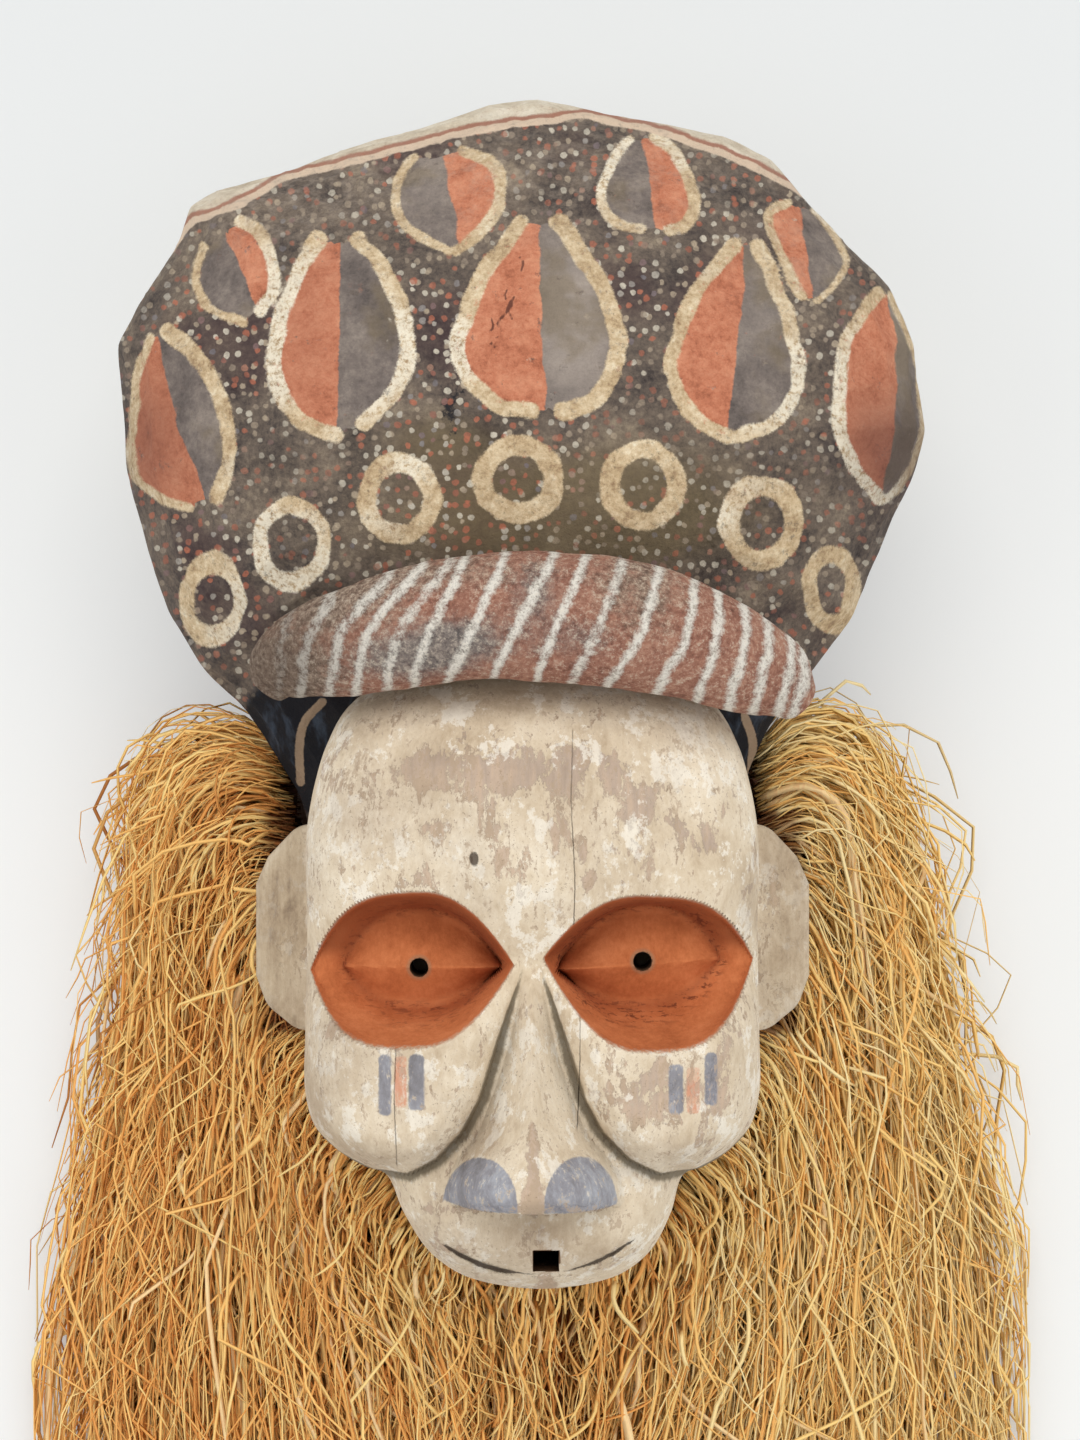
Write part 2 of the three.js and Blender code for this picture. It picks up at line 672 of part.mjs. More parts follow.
// The origin is the middle of the mask's footprint, on the surface it lies on.
const footprint = new THREE.Box3().setFromObject(mask).getCenter(new THREE.Vector3());
mask.position.set(-footprint.x, -footprint.y, 0);

export default mask;
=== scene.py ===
import math
import bpy
import numpy as np
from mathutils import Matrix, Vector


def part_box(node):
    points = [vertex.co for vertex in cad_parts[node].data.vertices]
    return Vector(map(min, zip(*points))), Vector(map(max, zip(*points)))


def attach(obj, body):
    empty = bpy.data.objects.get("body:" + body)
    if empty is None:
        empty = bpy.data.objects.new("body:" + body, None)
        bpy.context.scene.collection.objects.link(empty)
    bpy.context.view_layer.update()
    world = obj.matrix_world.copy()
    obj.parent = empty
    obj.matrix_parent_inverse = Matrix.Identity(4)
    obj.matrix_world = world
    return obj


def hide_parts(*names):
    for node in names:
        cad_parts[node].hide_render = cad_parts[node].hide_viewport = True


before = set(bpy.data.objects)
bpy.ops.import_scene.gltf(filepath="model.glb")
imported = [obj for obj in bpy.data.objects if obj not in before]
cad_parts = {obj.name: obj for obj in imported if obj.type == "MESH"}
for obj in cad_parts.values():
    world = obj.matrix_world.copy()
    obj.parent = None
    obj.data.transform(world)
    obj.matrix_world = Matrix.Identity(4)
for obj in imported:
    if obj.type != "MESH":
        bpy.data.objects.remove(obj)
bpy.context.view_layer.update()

# Sizes are in millimetres from the underside of the chin, as the maker measures them, and
# become metres in the frame when a mesh is made.
faceLow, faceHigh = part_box("face")
chinX = (faceLow[0] + faceHigh[0]) / 2
chinY = faceLow[1] + 0.001
millimetre = 0.001


def toFrame(points):
    p = np.asarray(points, float) * millimetre
    return p + np.array([chinX, chinY, 0.0])


def fromFrame(points):
    return (np.asarray(points, float) - np.array([chinX, chinY, 0.0])) / millimetre


# small numeric helpers

def ease(t):
    s = np.clip(t, 0, 1)
    return s * s * (3 - 2 * s)


def curveThrough(pairs, place):
    x, y = np.array(pairs, float).T
    place = np.clip(place, x[0], x[-1])
    i = np.clip(np.searchsorted(x, place, side="right") - 1, 0, len(x) - 2)
    low, high = np.maximum(np.arange(len(x)) - 1, 0), np.minimum(np.arange(len(x)) + 1, len(x) - 1)
    slope = (y[high] - y[low]) / (x[high] - x[low])
    span = x[i + 1] - x[i]
    t = (place - x[i]) / span
    straight = y[i] + t * t * (3 - 2 * t) * (y[i + 1] - y[i])
    return straight + span * t * (1 - t) * ((1 - t) * slope[i] - t * slope[i + 1])


def smoothCurve(points, places, closed=False):
    # a centripetal curve through points, read at places from 0 to 1
    p = np.array(points, float)
    n = len(p)
    if closed:
        ring = np.vstack([p[-1:], p, p[:2]])
        segments = n
    else:
        ring = np.vstack([2 * p[:1] - p[1:2], p, 2 * p[-1:] - p[-2:-1]])
        segments = n - 1
    u = np.clip(np.asarray(places, float), 0, 1) * segments
    i = np.minimum(u.astype(int), segments - 1)
    w = (u - i)[..., None]
    p0, p1, p2, p3 = ring[i], ring[i + 1], ring[i + 2], ring[i + 3]

    def gap(a, b):
        return np.maximum(np.linalg.norm(b - a, axis=-1, keepdims=True), 1e-6) ** 0.5

    d0, d1, d2 = gap(p0, p1), gap(p1, p2), gap(p2, p3)
    m1 = ((p1 - p0) / d0 - (p2 - p0) / (d0 + d1) + (p2 - p1) / d1) * d1
    m2 = ((p2 - p1) / d1 - (p3 - p1) / (d1 + d2) + (p3 - p2) / d2) * d1
    c2 = -3 * p1 + 3 * p2 - 2 * m1 - m2
    c3 = 2 * p1 - 2 * p2 + m1 + m2
    return p1 + m1 * w + c2 * w ** 2 + c3 * w ** 3


# large numbers that scatter the corners of the noise's lattice
scatter = (374761393, 668265263, 2147483647, 974634777, 1274126177)


def lattice(ix, iy, iz, seed):
    # a number from -1 to 1 for each corner, the same on every run
    h = sum(k * large for k, large in zip((ix, iy, iz, seed), scatter)) & 0xFFFFFFFF
    h = ((h ^ (h >> 13)) * scatter[4]) & 0xFFFFFFFF
    return ((h ^ (h >> 16)) & 0xFFFFFF) / 0x800000 - 1.0


def grainNoise(points, size, seed):
    # smooth noise from -1 to 1 with bumps about size millimetres across
    q = np.asarray(points, float) / np.asarray(size, float)
    base = np.floor(q).astype(np.int64)
    f = q - base
    f = f * f * (3 - 2 * f)
    total = 0
    for step in np.ndindex(2, 2, 2):
        share = np.abs(1 - np.array(step) - f)
        weight = share[..., 0] * share[..., 1] * share[..., 2]
        total = total + weight * lattice(*np.moveaxis(base + np.array(step), -1, 0), seed)
    return total


def grains(points, layers):
    # several noises over one another, each with its height, size and seed
    return sum(height * grainNoise(points, size, seed) for height, size, seed in layers)


def lineDistance(line, x, y):
    # distance to a line of corners, and its sign: positive on the left
    best = np.full(np.shape(x), 1e9)
    sign = np.ones(np.shape(x))
    for (ax, ay), (bx, by) in zip(line[:-1], line[1:]):
        dx, dy = bx - ax, by - ay
        t = np.clip(((x - ax) * dx + (y - ay) * dy) / (dx * dx + dy * dy), 0, 1)
        d = np.hypot(x - ax - t * dx, y - ay - t * dy)
        nearer = d < best - 1e-6
        best = np.where(nearer, d, best)
        sign = np.where(nearer, np.sign(dx * (y - ay) - dy * (x - ax)), sign)
    return best * sign


def reachOf(outline, dx, dy):
    # how far an outline around the origin reaches in the direction of each point
    turn = np.arctan2(outline[:, 1], outline[:, 0])
    order = np.argsort(turn)
    reach = np.hypot(*outline[order].T)
    return np.interp(np.arctan2(dy, dx), turn[order], reach, period=2 * math.pi)


# mesh helpers

doublesWithin = 2e-6  # metres
keysPerMillimetre = 200


def deselect():
    for o in bpy.context.selected_objects:
        o.select_set(False)


def choose(piece):
    # makes a piece the active one, and the only one selected
    deselect()
    piece.select_set(True)
    bpy.context.view_layer.objects.active = piece


def meshPlaces(piece):
    co = np.zeros(len(piece.data.vertices) * 3)
    piece.data.vertices.foreach_get("co", co)
    return co.reshape(-1, 3)


def vertexPlaces(piece):
    return fromFrame(meshPlaces(piece))


def moveVertices(piece, places):
    piece.data.vertices.foreach_set("co", toFrame(places).ravel())


def placeKeys(places):
    # whole numbers that tell one vertex from another
    return [tuple(k) for k in np.round(places * keysPerMillimetre).astype(int)]


def wrapGrid(name, rows):
    # a primitive grid laid over rows of points, joined along its seam and closed at its ends
    rows = [np.asarray(r, float) for r in rows]
    across = max(len(r) for r in rows)
    table = np.stack([np.repeat(r, across, 0) if len(r) == 1 else r for r in rows])
    table = np.concatenate([table, table[:, :1]], axis=1)
    deselect()
    bpy.ops.mesh.primitive_grid_add(x_subdivisions=across, y_subdivisions=len(rows) - 1, size=1)
    piece = bpy.context.object
    piece.name = piece.data.name = name
    moveVertices(piece, table.reshape(-1, 3))
    piece.data.update()
    bpy.ops.object.mode_set(mode="EDIT")
    bpy.ops.mesh.select_all(action="SELECT")
    bpy.ops.mesh.remove_doubles(threshold=doublesWithin)
    bpy.ops.mesh.normals_make_consistent(inside=False)
    bpy.ops.object.mode_set(mode="OBJECT")
    return piece


def cut(piece, tool, operation="DIFFERENCE"):
    choose(piece)
    change = piece.modifiers.new("cut", "BOOLEAN")
    change.operation = operation
    change.solver = "MANIFOLD"
    change.object = tool
    bpy.ops.object.modifier_apply(modifier=change.name)
    bpy.data.objects.remove(tool)


def giveAttribute(piece, name, values):
    layer = piece.data.attributes.new(name, "FLOAT", "POINT")
    layer.data.foreach_set("value", np.asarray(values, np.float32).ravel())


def giveAttributes(piece, shares):
    for name, values in shares.items():
        giveAttribute(piece, name, values)


def shadeSmooth(piece, angle):
    choose(piece)
    bpy.ops.object.shade_smooth_by_angle(angle=math.radians(angle))


# shader helpers

def screenColor(red, green, blue):
    # a colour as a screen shows it, 0 to 255, in the light values that a shader takes
    shares = (c / 255 for c in (red, green, blue))
    return tuple(c / 12.92 if c <= 0.04 else ((c + 0.055) / 1.055) ** 2.4 for c in shares)


class Wire:
    # a node's output; adding, subtracting and multiplying wires adds Math nodes
    def __init__(self, tree, socket):
        self.tree = tree
        self.socket = socket

    def add(self, kind, settings=None, inputs=None, output=0):
        node = self.tree.nodes.new(kind)
        for key, value in (settings or {}).items():
            if key == "stops":
                ramp = node.color_ramp
                while len(ramp.elements) > len(value):
                    ramp.elements.remove(ramp.elements[-1])
                while len(ramp.elements) < len(value):
                    ramp.elements.new(0.5)
                for element, (place, color) in zip(ramp.elements, value):
                    element.position = place
                    element.color = (*screenColor(*color), 1)
            else:
                setattr(node, key, value)
        for key, value in (inputs or {}).items():
            if isinstance(value, Wire):
                self.tree.links.new(value.socket, node.inputs[key])
            elif value is not None:
                node.inputs[key].default_value = value
        return Wire(self.tree, node.outputs[output])

    def math(self, operation, *others):
        return self.add("ShaderNodeMath", {"operation": operation}, dict(enumerate((self, *others))))

    def __add__(self, other):
        return self.math("ADD", other)

    def __mul__(self, other):
        return self.math("MULTIPLY", other)

    def __sub__(self, other):
        return self.math("SUBTRACT", other)

    def __rsub__(self, other):
        return self.add("ShaderNodeMath", {"operation": "SUBTRACT"}, {0: other, 1: self})

    __radd__ = __add__
    __rmul__ = __mul__

    def max(self, other):
        return self.math("MAXIMUM", other)

    def min(self, other):
        return self.math("MINIMUM", other)

    def step(self, low, high):
        # 0 below low, 1 above high, smooth between
        settings = {"interpolation_type": "SMOOTHSTEP"}
        return self.add("ShaderNodeMapRange", settings, {"Value": self, "From Min": low, "From Max": high})

    def blend(self, other, mask):
        # this colour, with the other one where the mask is 1
        inputs = {0: mask, 6: self, 7: other if isinstance(other, Wire) else (*screenColor(*other), 1)}
        return self.add("ShaderNodeMix", {"data_type": "RGBA"}, inputs, 2)

    def shade(self, amount):
        # this colour times a number that varies
        grey = self.add("ShaderNodeCombineColor", None, {0: amount, 1: amount, 2: amount})
        settings = {"data_type": "RGBA", "blend_type": "MULTIPLY"}
        return self.add("ShaderNodeMix", settings, {0: 1.0, 6: self, 7: grey}, 2)


class Finish:
    # one material: its tree, its object coordinates and the nodes that most finishes share
    def __init__(self, name):
        self.material = bpy.data.materials.new(name)
        self.material.use_nodes = True
        self.tree = self.material.node_tree
        self.tree.nodes.clear()
        self.start = Wire(self.tree, None)
        self.place = self.start.add("ShaderNodeTexCoord", output=3)

    def stretched(self, *scale):
        return self.place.add("ShaderNodeMapping", None, {"Vector": self.place, "Scale": scale})

    def noise(self, scale, detail=4, roughness=0.55, where=None, distortion=0.0, output=0):
        inputs = {"Vector": where or self.place, "Scale": scale, "Detail": detail}
        inputs.update({"Roughness": roughness, "Distortion": distortion})
        return self.place.add("ShaderNodeTexNoise", None, inputs, output)

    def cells(self, where, scale, randomness, output=0):
        inputs = {"Vector": where, "Scale": scale, "Randomness": randomness}
        return self.place.add("ShaderNodeTexVoronoi", {"voronoi_dimensions": "2D"}, inputs, output)

    def painted(self, name):
        return self.start.add("ShaderNodeAttribute", {"attribute_name": name}, output=2)

    def ramp(self, value, stops):
        return self.start.add("ShaderNodeValToRGB", {"stops": stops}, {0: value})

    def bump(self, height, distance, strength):
        inputs = {"Height": height, "Distance": distance, "Strength": strength}
        return self.start.add("ShaderNodeBump", None, inputs)

    def end(self, color, roughness, normal, constants):
        inputs = {"Base Color": color, "Roughness": roughness, "Normal": normal, "Metallic": 0.0}
        inputs.update(constants)
        shader = self.start.add("ShaderNodeBsdfPrincipled", None, inputs)
        output = self.tree.nodes.new("ShaderNodeOutputMaterial")
        self.tree.links.new(shader.socket, output.inputs["Surface"])
        return self.material


print("stage: helpers ready")

# the photograph's frame, for the painted patterns: straight down on the face
picture = {
    "height": 1440,  # pixels
    "middle": (532, 720),  # the pixel over the mask's middle line, level with the camera
    "cameraX": 3, "cameraY": 221, "cameraZ": 1400,
    "faceZ": 200, "pixel": 0.375,  # millimetres a pixel at the height of the face
    "film": 36,
}


def pixelSize(z):
    return picture["pixel"] * (picture["cameraZ"] - z) / (picture["cameraZ"] - picture["faceZ"])


def toPicture(x, y, z):
    size = pixelSize(z)
    return picture["middle"][0] + x / size, picture["middle"][1] - (y - picture["cameraY"]) / size


def placeCamera():
    camera = bpy.data.objects.new("camera", bpy.data.cameras.new("camera"))
    bpy.context.scene.collection.objects.link(camera)
    camera.location = toFrame([picture["cameraX"], picture["cameraY"], picture["cameraZ"]])
    height = picture["height"] * picture["pixel"]
    camera.data.sensor_width = picture["film"]
    camera.data.lens = picture["film"] * (picture["cameraZ"] - picture["faceZ"]) / height
    camera.data.clip_end = 20
    bpy.context.scene.camera = camera


placeCamera()

# the wooden face

face = {
    "centre": (0, 118), "wall": 9,
    "rim": 74, "sideEdge": 150, "frontRise": 8,  # heights: the back, the front's edge, least rise over it
    "edgeRound": 24, "edgePower": 2.2, "crossCurve": 0.0026,
    "cheekTuck": 8, "tuckY": 60, "tuckSpan": 17, "tuckDrop": 22,  # the walls are drawn in below the cheeks
    "jawLean": 3.2, "leanTop": 70,
    "columns": 430, "frontRings": 150, "ringPower": 1.15, "outlineSteps": 4001,
    "outline": [
        (0, -1), (16, 0.5), (31, 5), (43, 14), (52, 29), (58, 44), (66, 47), (76, 53), (84.5, 62), (88.5, 76),
        (88.5, 100), (88, 140), (88, 178), (84, 200), (80, 212), (72, 226), (56, 237), (28, 243), (0, 244),
    ],
    "spine": [
        (-2, 164), (5, 176), (16, 183), (34, 187), (60, 186), (90, 187), (112, 189), (128, 189), (142, 195),
        (160, 200), (185, 199), (205, 194), (225, 184), (244, 168),
    ],
    "cheekRise": 19, "lobeRound": 16, "lobeTop": 131, "lobeFade": 36,
    "cheekBorder": [
        (3, 131), (4.7, 123), (8.5, 112), (12, 101), (15, 91), (19.3, 77),
        (26, 64.5), (36, 54), (48, 47.5), (62, 46.5), (76, 53), (92, 68),
    ],
    # the lobes rise steeply, then over a worn chamfer: distance from the border, share of the rise
    "lobeProfile": [(0, 0), (1.2, 0.34), (3, 0.56), (8, 0.84), (10, 0.92), (16, 1.0), (40, 1.06)],
    "noseRidge": [(30, 212), (37, 217), (44, 222), (55, 219), (72, 212), (92, 204), (112, 196), (130, 188)],
    "noseHalf": [
        (30, 31), (40, 33.5), (48, 32.5), (55, 28), (64, 21), (76, 16), (92, 10.5), (108, 6.5), (130, 3),
    ],
    "noseBase": 37.5, "noseBaseCurve": -0.0005, "noseBaseStep": 1.6,
    "wingFullness": 2.6, "bridgeFullness": 1.15, "wingTop": 44, "wingFade": 30,
    "eyes": [
        {"side": -1, "x": 46.4, "y": 126.2, "tilt": -0.05, "bend": 2.2, "grow": 1.03, "rough": 0.5,
         "ridgeY": 126.2, "ridgeTilt": 0.0, "pupil": (43.5, 125.8)},
        {"side": 1, "x": 44.9, "y": 129.6, "tilt": -0.03, "bend": -2.6, "grow": 1.06, "rough": 1.0,
         "ridgeY": 127.4, "ridgeTilt": 0.06, "pupil": (42.4, 128.2)},
    ],
    "pupilRadius": 3.6, "pinLength": 140, "pinHeight": 160,
    "mouthHole": (5.3, 14.7, 9.9, 9.2), "mouthHeight": 170, "mouthLength": 90,
    # the parting of the lips: its curve, and how open it is from left to right
    "slitHalf": 37, "slitEnds": 21.5, "slitSag": 14.4, "slitPull": 1.8, "slitTilt": 0.045, "slitSteps": 25,
    "slitDeep": 2.8, "slitTop": 40, "slitFade": 4, "slitRagged": ((0.5, (4, 9, 9), 5),),
    "slitShare": [
        (-38, 0), (-34, 0.7), (-24, 1), (-13, 0.9), (-7, 0.3),
        (8, 0.1), (14, 0.45), (24, 0.7), (34, 0.5), (38, 0),
    ],
    # marks of the carver's tool: height, size and seed
    "toolMarks": ((0.35, (7, 26, 9), 3), (0.16, (2.4, 14, 5), 4)), "socketMarks": 0.4,
    "hollowSides": 64, "hollowRoof": 16, "hollowFall": 16, "socketRoof": 24, "socketReach": 58,
    "hollowShares": (0.2, 0.4, 0.55, 0.68, 0.78, 0.87, 0.94),
    "earRoot": 80, "earHeight": 104, "earThickness": 12, "earTurn": 0.16, "earBevel": 0.003,
    "earOutline": [
        (80, 181), (94, 178), (105.5, 166), (110.5, 155), (110.5, 118), (106, 106), (94, 96.5), (80, 95),
    ],
}
socket = {
    # nested lenses from the painted rim to the ridge between the lids; those with a bow follow the eye's
    # own tilt, the others its ridge
    "rings": [
        {"shift": 0, "half": 38.5, "up": 27.5, "down": 30.5, "depth": 0, "power": 3.5, "bow": 0.1},
        {"shift": 1.6, "half": 36.3, "up": 24.5, "down": 24, "depth": 13, "power": 3.5, "bow": 0.1},
        {"shift": -4, "half": 30, "up": 22, "down": 16.5, "depth": 25.5, "power": 2.9, "bow": 0},
        {"shift": -6, "half": 27.6, "up": 0.4, "down": 0.4, "depth": 13.5, "power": 2.9, "bow": 0},
    ],
    "innerPower": 2.1,
    "slopes": (0.75, 1.0, 1.25),  # how the surface bends between two lenses
    "creaseDeep": 1.5, "creaseWide": 2.2, "creaseMark": 2.6,
    "floorDrop": 4, "floorBlend": 30,
    "gougeShift": 3, "gougeWide": 4,
}


def blankHeight(x, y, toEdge):
    edge = 1 - np.clip(toEdge / face["edgeRound"], 0, 1)
    spine = curveThrough(face["spine"], y)
    crossed = np.maximum(spine - face["crossCurve"] * x * x, face["sideEdge"] + face["frontRise"])
    return face["sideEdge"] + (crossed - face["sideEdge"]) * np.sqrt(1 - edge ** face["edgePower"])


def overRidge(eye, x, y):
    return y - eye["ridgeY"] - eye["ridgeTilt"] * (x * eye["side"] - eye["x"])


def lensField(eye, ring, x, y):
    # how far inside one lens a point is, in millimetres, negative outside
    u = x * eye["side"] - eye["x"]
    bow = ring["bow"]
    along = (u - ring["shift"]) / (ring["half"] * eye["grow"])
    outer = along > -bow
    span = np.where(outer, (along + bow) / (1 + bow), (along + bow) / (1 - bow))
    arch = 1 - np.abs(span) ** np.where(outer, ring["power"], socket["innerPower"])
    v = y - eye["y"] - eye["tilt"] * u - eye["bend"] * arch if bow else overRidge(eye, x, y)
    return np.minimum(ring["up"] * arch - v, v + ring["down"] * arch)


def cutSockets(x, y, z):
    # lowers the surface into the eye sockets; also gives the marks that the paint follows, among them painted
    # shade on the upper walls and in the creases
    marks = {"socket": np.full(np.shape(x), -50.0)}
    marks.update({name: np.zeros(np.shape(x)) for name in ("crease", "lid", "gouged")})
    for eye in face["eyes"]:
        fields = [lensField(eye, ring, x, y) for ring in socket["rings"]]
        rim, slope, fold = fields[:3]
        depth = np.zeros(np.shape(x))
        for k, power in enumerate(socket["slopes"]):
            outer, inner = fields[k:k + 2]
            top, bottom = (ring["depth"] for ring in socket["rings"][k:k + 2])
            t = np.clip(outer / np.maximum(outer - inner, 1e-6), 0, 1)
            here = top + (bottom - top) * np.where(t < 1, t ** power, 1)
            depth = np.where(outer > 0, here, depth)
        depth = depth - socket["creaseDeep"] * np.exp(-((fold / socket["creaseWide"]) ** 2)) * (slope > 0)
        middle = curveThrough(face["spine"], np.full(np.shape(x), float(eye["y"]))) - socket["floorDrop"]
        floor = z + (middle - z) * np.clip(depth / socket["floorBlend"], 0, 1)
        z = np.where(rim > 0, floor - depth, z)
        rough = np.exp(-(((fold + socket["gougeShift"]) / socket["gougeWide"]) ** 2))
        here = {
            "socket": rim,
            # painted shade along the crease between the lids, where scratches also run
            "crease": np.exp(-((fold / socket["creaseMark"]) ** 2)) * ease(rim / 8),
            "gouged": rough * ease(rim / 7) * eye["rough"],
            # painted shade on the upper wall, under the socket's top edge
            "lid": ease((overRidge(eye, x, y) - 1) / 7) * ease(rim / 3) * ease((2 - fold) / 4) * (rim > 0),
        }
        marks.update({name: np.maximum(marks[name], values) for name, values in here.items()})
    return z, marks


def slitLine():
    half, ends = face["slitHalf"], face["slitEnds"]
    handle = ends - face["slitPull"] * face["slitSag"]
    t = np.linspace(0, 1, face["slitSteps"])
    x = -half + 2 * half * t + jawLean(0)
    y = ends * (1 - t) ** 2 + 2 * handle * t * (1 - t) + ends * t ** 2
    return list(zip(x, y + face["slitTilt"] * x))


def slitShown(x, y):
    parted = np.clip(curveThrough(face["slitShare"], x), 0, 1)
    return parted * ease((face["slitTop"] - y) / face["slitFade"])


def jawLean(y):
    return face["jawLean"] * (1 - ease(np.asarray(y, float) / face["leanTop"]))


def noseFoot(x):
    return face["noseBase"] + face["noseBaseCurve"] * x * x


def frontHeight(x, y, toEdge):
    blank = blankHeight(x, y, toEdge)
    profile = face["lobeProfile"]
    inside = np.clip(lineDistance(face["cheekBorder"], np.abs(x), y), 0, profile[-1][0])
    rounded = np.sqrt(1 - (1 - np.clip(toEdge / face["lobeRound"], 0, 1)) ** 2)
    faded = ease((face["lobeTop"] - y) / face["lobeFade"])
    lobe = curveThrough(profile, inside) * face["cheekRise"] * faded * rounded
    across = np.clip(np.abs(x) / curveThrough(face["noseHalf"], y), 0, 1)
    wing, bridge = face["wingFullness"], face["bridgeFullness"]
    fullness = wing + (bridge - wing) * ease((y - face["wingTop"]) / face["wingFade"])
    foot = ease((y - noseFoot(x)) / face["noseBaseStep"] + 0.5)
    crest = (curveThrough(face["noseRidge"], y) - blank) * (1 - across ** fullness) * foot
    nose = np.where((y < face["noseRidge"][-1][0]) & (across < 1), crest, 0)
    return blank + np.maximum(lobe, nose)


def faceOutline(count):
    right = [(x, y, 0) for x, y in face["outline"]]
    left = [(-x, y, 0) for x, y in reversed(face["outline"][1:-1])]
    dense = smoothCurve(right + left, np.linspace(0, 1, face["outlineSteps"]), closed=True)[:, :2]
    walked = np.concatenate([[0], np.cumsum(np.linalg.norm(np.diff(dense, axis=0), axis=1))])
    places = np.linspace(0, walked[-1], count + 1)[:-1]
    return np.stack([np.interp(places, walked, dense[:, k]) for k in (0, 1)], axis=1)


def fromCentre(x, y):
    # the way from the face's centre, and how far the outline reaches in that direction
    dx, dy = x - jawLean(y) - face["centre"][0], y - face["centre"][1]
    outline = faceOutline(400) - np.array(face["centre"], float)
    return dx, dy, reachOf(outline, dx, dy)


def towardsCentre(points, amount):
    away = np.array(face["centre"], float) - points
    return points + away * (np.asarray(amount) / np.linalg.norm(away, axis=1))[:, None]


def cheekBand(y):
    return np.exp(-(((y - face["tuckY"]) / face["tuckSpan"]) ** 2))


def leaned(points, z):
    x = points[:, 0] + jawLean(points[:, 1])
    return np.stack([x, points[:, 1], np.broadcast_to(z, x.shape)], axis=1)


def carveFront(p, z):
    # sinks the sockets and the parting of the lips, and leaves the marks of the tool
    x, y = p.T
    z, marks = cutSockets(x, y, z)
    slit = np.abs(lineDistance(slitLine(), x + jawLean(y), y))
    opened = slitShown(x, y) * (0.75 + grains(leaned(p, z), face["slitRagged"]))
    z = z - face["slitDeep"] * np.exp(-(slit ** 2)) * opened
    marked = np.where(marks["socket"] > 0, face["socketMarks"], 1.0)
    return z + grains(leaned(p, z), face["toolMarks"]) * marked


def faceRings(columns, shares, grow=0):
    # rings from the middle of the front to its edge and down the walls; when grown by some
    # millimetres, only the plain room that the face takes up
    outline = faceOutline(columns)
    centre = np.array(face["centre"], float)
    rings = []
    for share in shares:
        p = centre + (outline - centre) * share
        z = frontHeight(*p.T, (1 - share) * np.linalg.norm(outline - centre, axis=1))
        if grow:
            p = towardsCentre(p, -grow * share)
        else:
            z = carveFront(p, z)
        rings.append(leaned(p, z + grow))

    def wall(tuck, height):
        p = towardsCentre(outline, tuck * cheekBand(outline[:, 1]) - grow)
        return leaned(p, height)

    tuck, start = face["cheekTuck"], face["sideEdge"] - 1
    foot = start - face["tuckDrop"]
    for part in np.linspace(0.04, 1, 2 if grow else 8):
        drawnIn = 1 + (tuck - 1) * ease(part * 1.6 - 0.2)
        rings.append(wall(drawnIn, start - face["tuckDrop"] * part))
    for part in np.linspace(0.2, 1, 2 if grow else 5):
        rings.append(wall(tuck, foot - (foot - face["rim"] + grow) * part))
    top = frontHeight(np.array([centre[0]]), np.array([centre[1]]), np.array([1e3]))
    first = [[*centre, top[0] + grow]]
    last = [[*centre, face["rim"] - grow]]
    return [first, *rings, last]


def faceHollow():
    outline = faceOutline(face["hollowSides"])
    centre = np.array(face["centre"], float)

    def ceiling(p):
        sunk = np.zeros(len(p))
        for eye in face["eyes"]:
            away = np.hypot(p[:, 0] - eye["side"] * eye["x"], p[:, 1] - eye["y"])
            sunk = np.maximum(sunk, np.exp(-((away / face["socketReach"]) ** 4)))
        roof = blankHeight(p[:, 0], p[:, 1], np.full(len(p), 1e3)) - face["hollowRoof"]
        return roof - face["socketRoof"] * sunk

    inner = towardsCentre(outline, face["wall"] + face["cheekTuck"] * cheekBand(outline[:, 1]))
    rings = [[[*centre, ceiling(centre[None])[0]]]]
    for share in face["hollowShares"]:
        p = centre + (inner - centre) * share
        rings.append(leaned(p, ceiling(p) - face["hollowFall"] * share ** 5))
    for height in (face["sideEdge"] - 12, 110, face["rim"] - 5):
        rings.append(leaned(inner, height))
    rings.append([[*centre, face["rim"] - 5]])
    return wrapGrid("faceHollow", rings)


def earPlate(side):
    # a flat plate drawn from its outline, extruded and bevelled
    deselect()
    bpy.ops.mesh.primitive_circle_add(vertices=len(face["earOutline"]), fill_type="NGON")
    plate = bpy.context.object
    root, turn = face["earRoot"], face["earTurn"]
    corners = np.array([(x - root, y, 0) for x, y in face["earOutline"]], float)
    tilt = np.array([[math.cos(turn), 0, -math.sin(turn)], [0, 1, 0], [math.sin(turn), 0, math.cos(turn)]])
    placed = corners @ tilt + np.array([root, 0, face["earHeight"]])
    moveVertices(plate, placed * np.array([side, 1, 1]))
    lift = np.array([0, 0, face["earThickness"]]) @ tilt * millimetre
    bpy.ops.object.mode_set(mode="EDIT")
    bpy.ops.mesh.select_all(action="SELECT")
    bpy.ops.mesh.extrude_region_move(TRANSFORM_OT_translate={"value": (side * lift[0], lift[1], lift[2])})
    bpy.ops.mesh.select_all(action="SELECT")
    bpy.ops.mesh.normals_make_consistent(inside=False)
    bpy.ops.object.mode_set(mode="OBJECT")
    soften = plate.modifiers.new("soften", "BEVEL")
    soften.width = face["earBevel"]
    soften.segments = 4
    bpy.ops.object.modifier_apply(modifier=soften.name)
    return plate


def sizedTool(size, centre):
    # gives the primitive that was just added its size and place
    tool = bpy.context.object
    moveVertices(tool, meshPlaces(tool) * np.array(size) + np.array(centre))
    return tool


def boxTool(size, centre):
    deselect()
    bpy.ops.mesh.primitive_cube_add(size=1)
    return sizedTool(size, centre)


def pinTool(radius, x, y):
    deselect()
    bpy.ops.mesh.primitive_cylinder_add(vertices=28, radius=1, depth=1)
    return sizedTool([radius, radius, face["pinLength"]], [x, y, face["pinHeight"]])


def outsideMark(piece, before):
    # 1 where a vertex is still one of the outside's own, 0 on what a cut made
    kept = set(placeKeys(before))
    return np.array([key in kept for key in placeKeys(vertexPlaces(piece))], float)


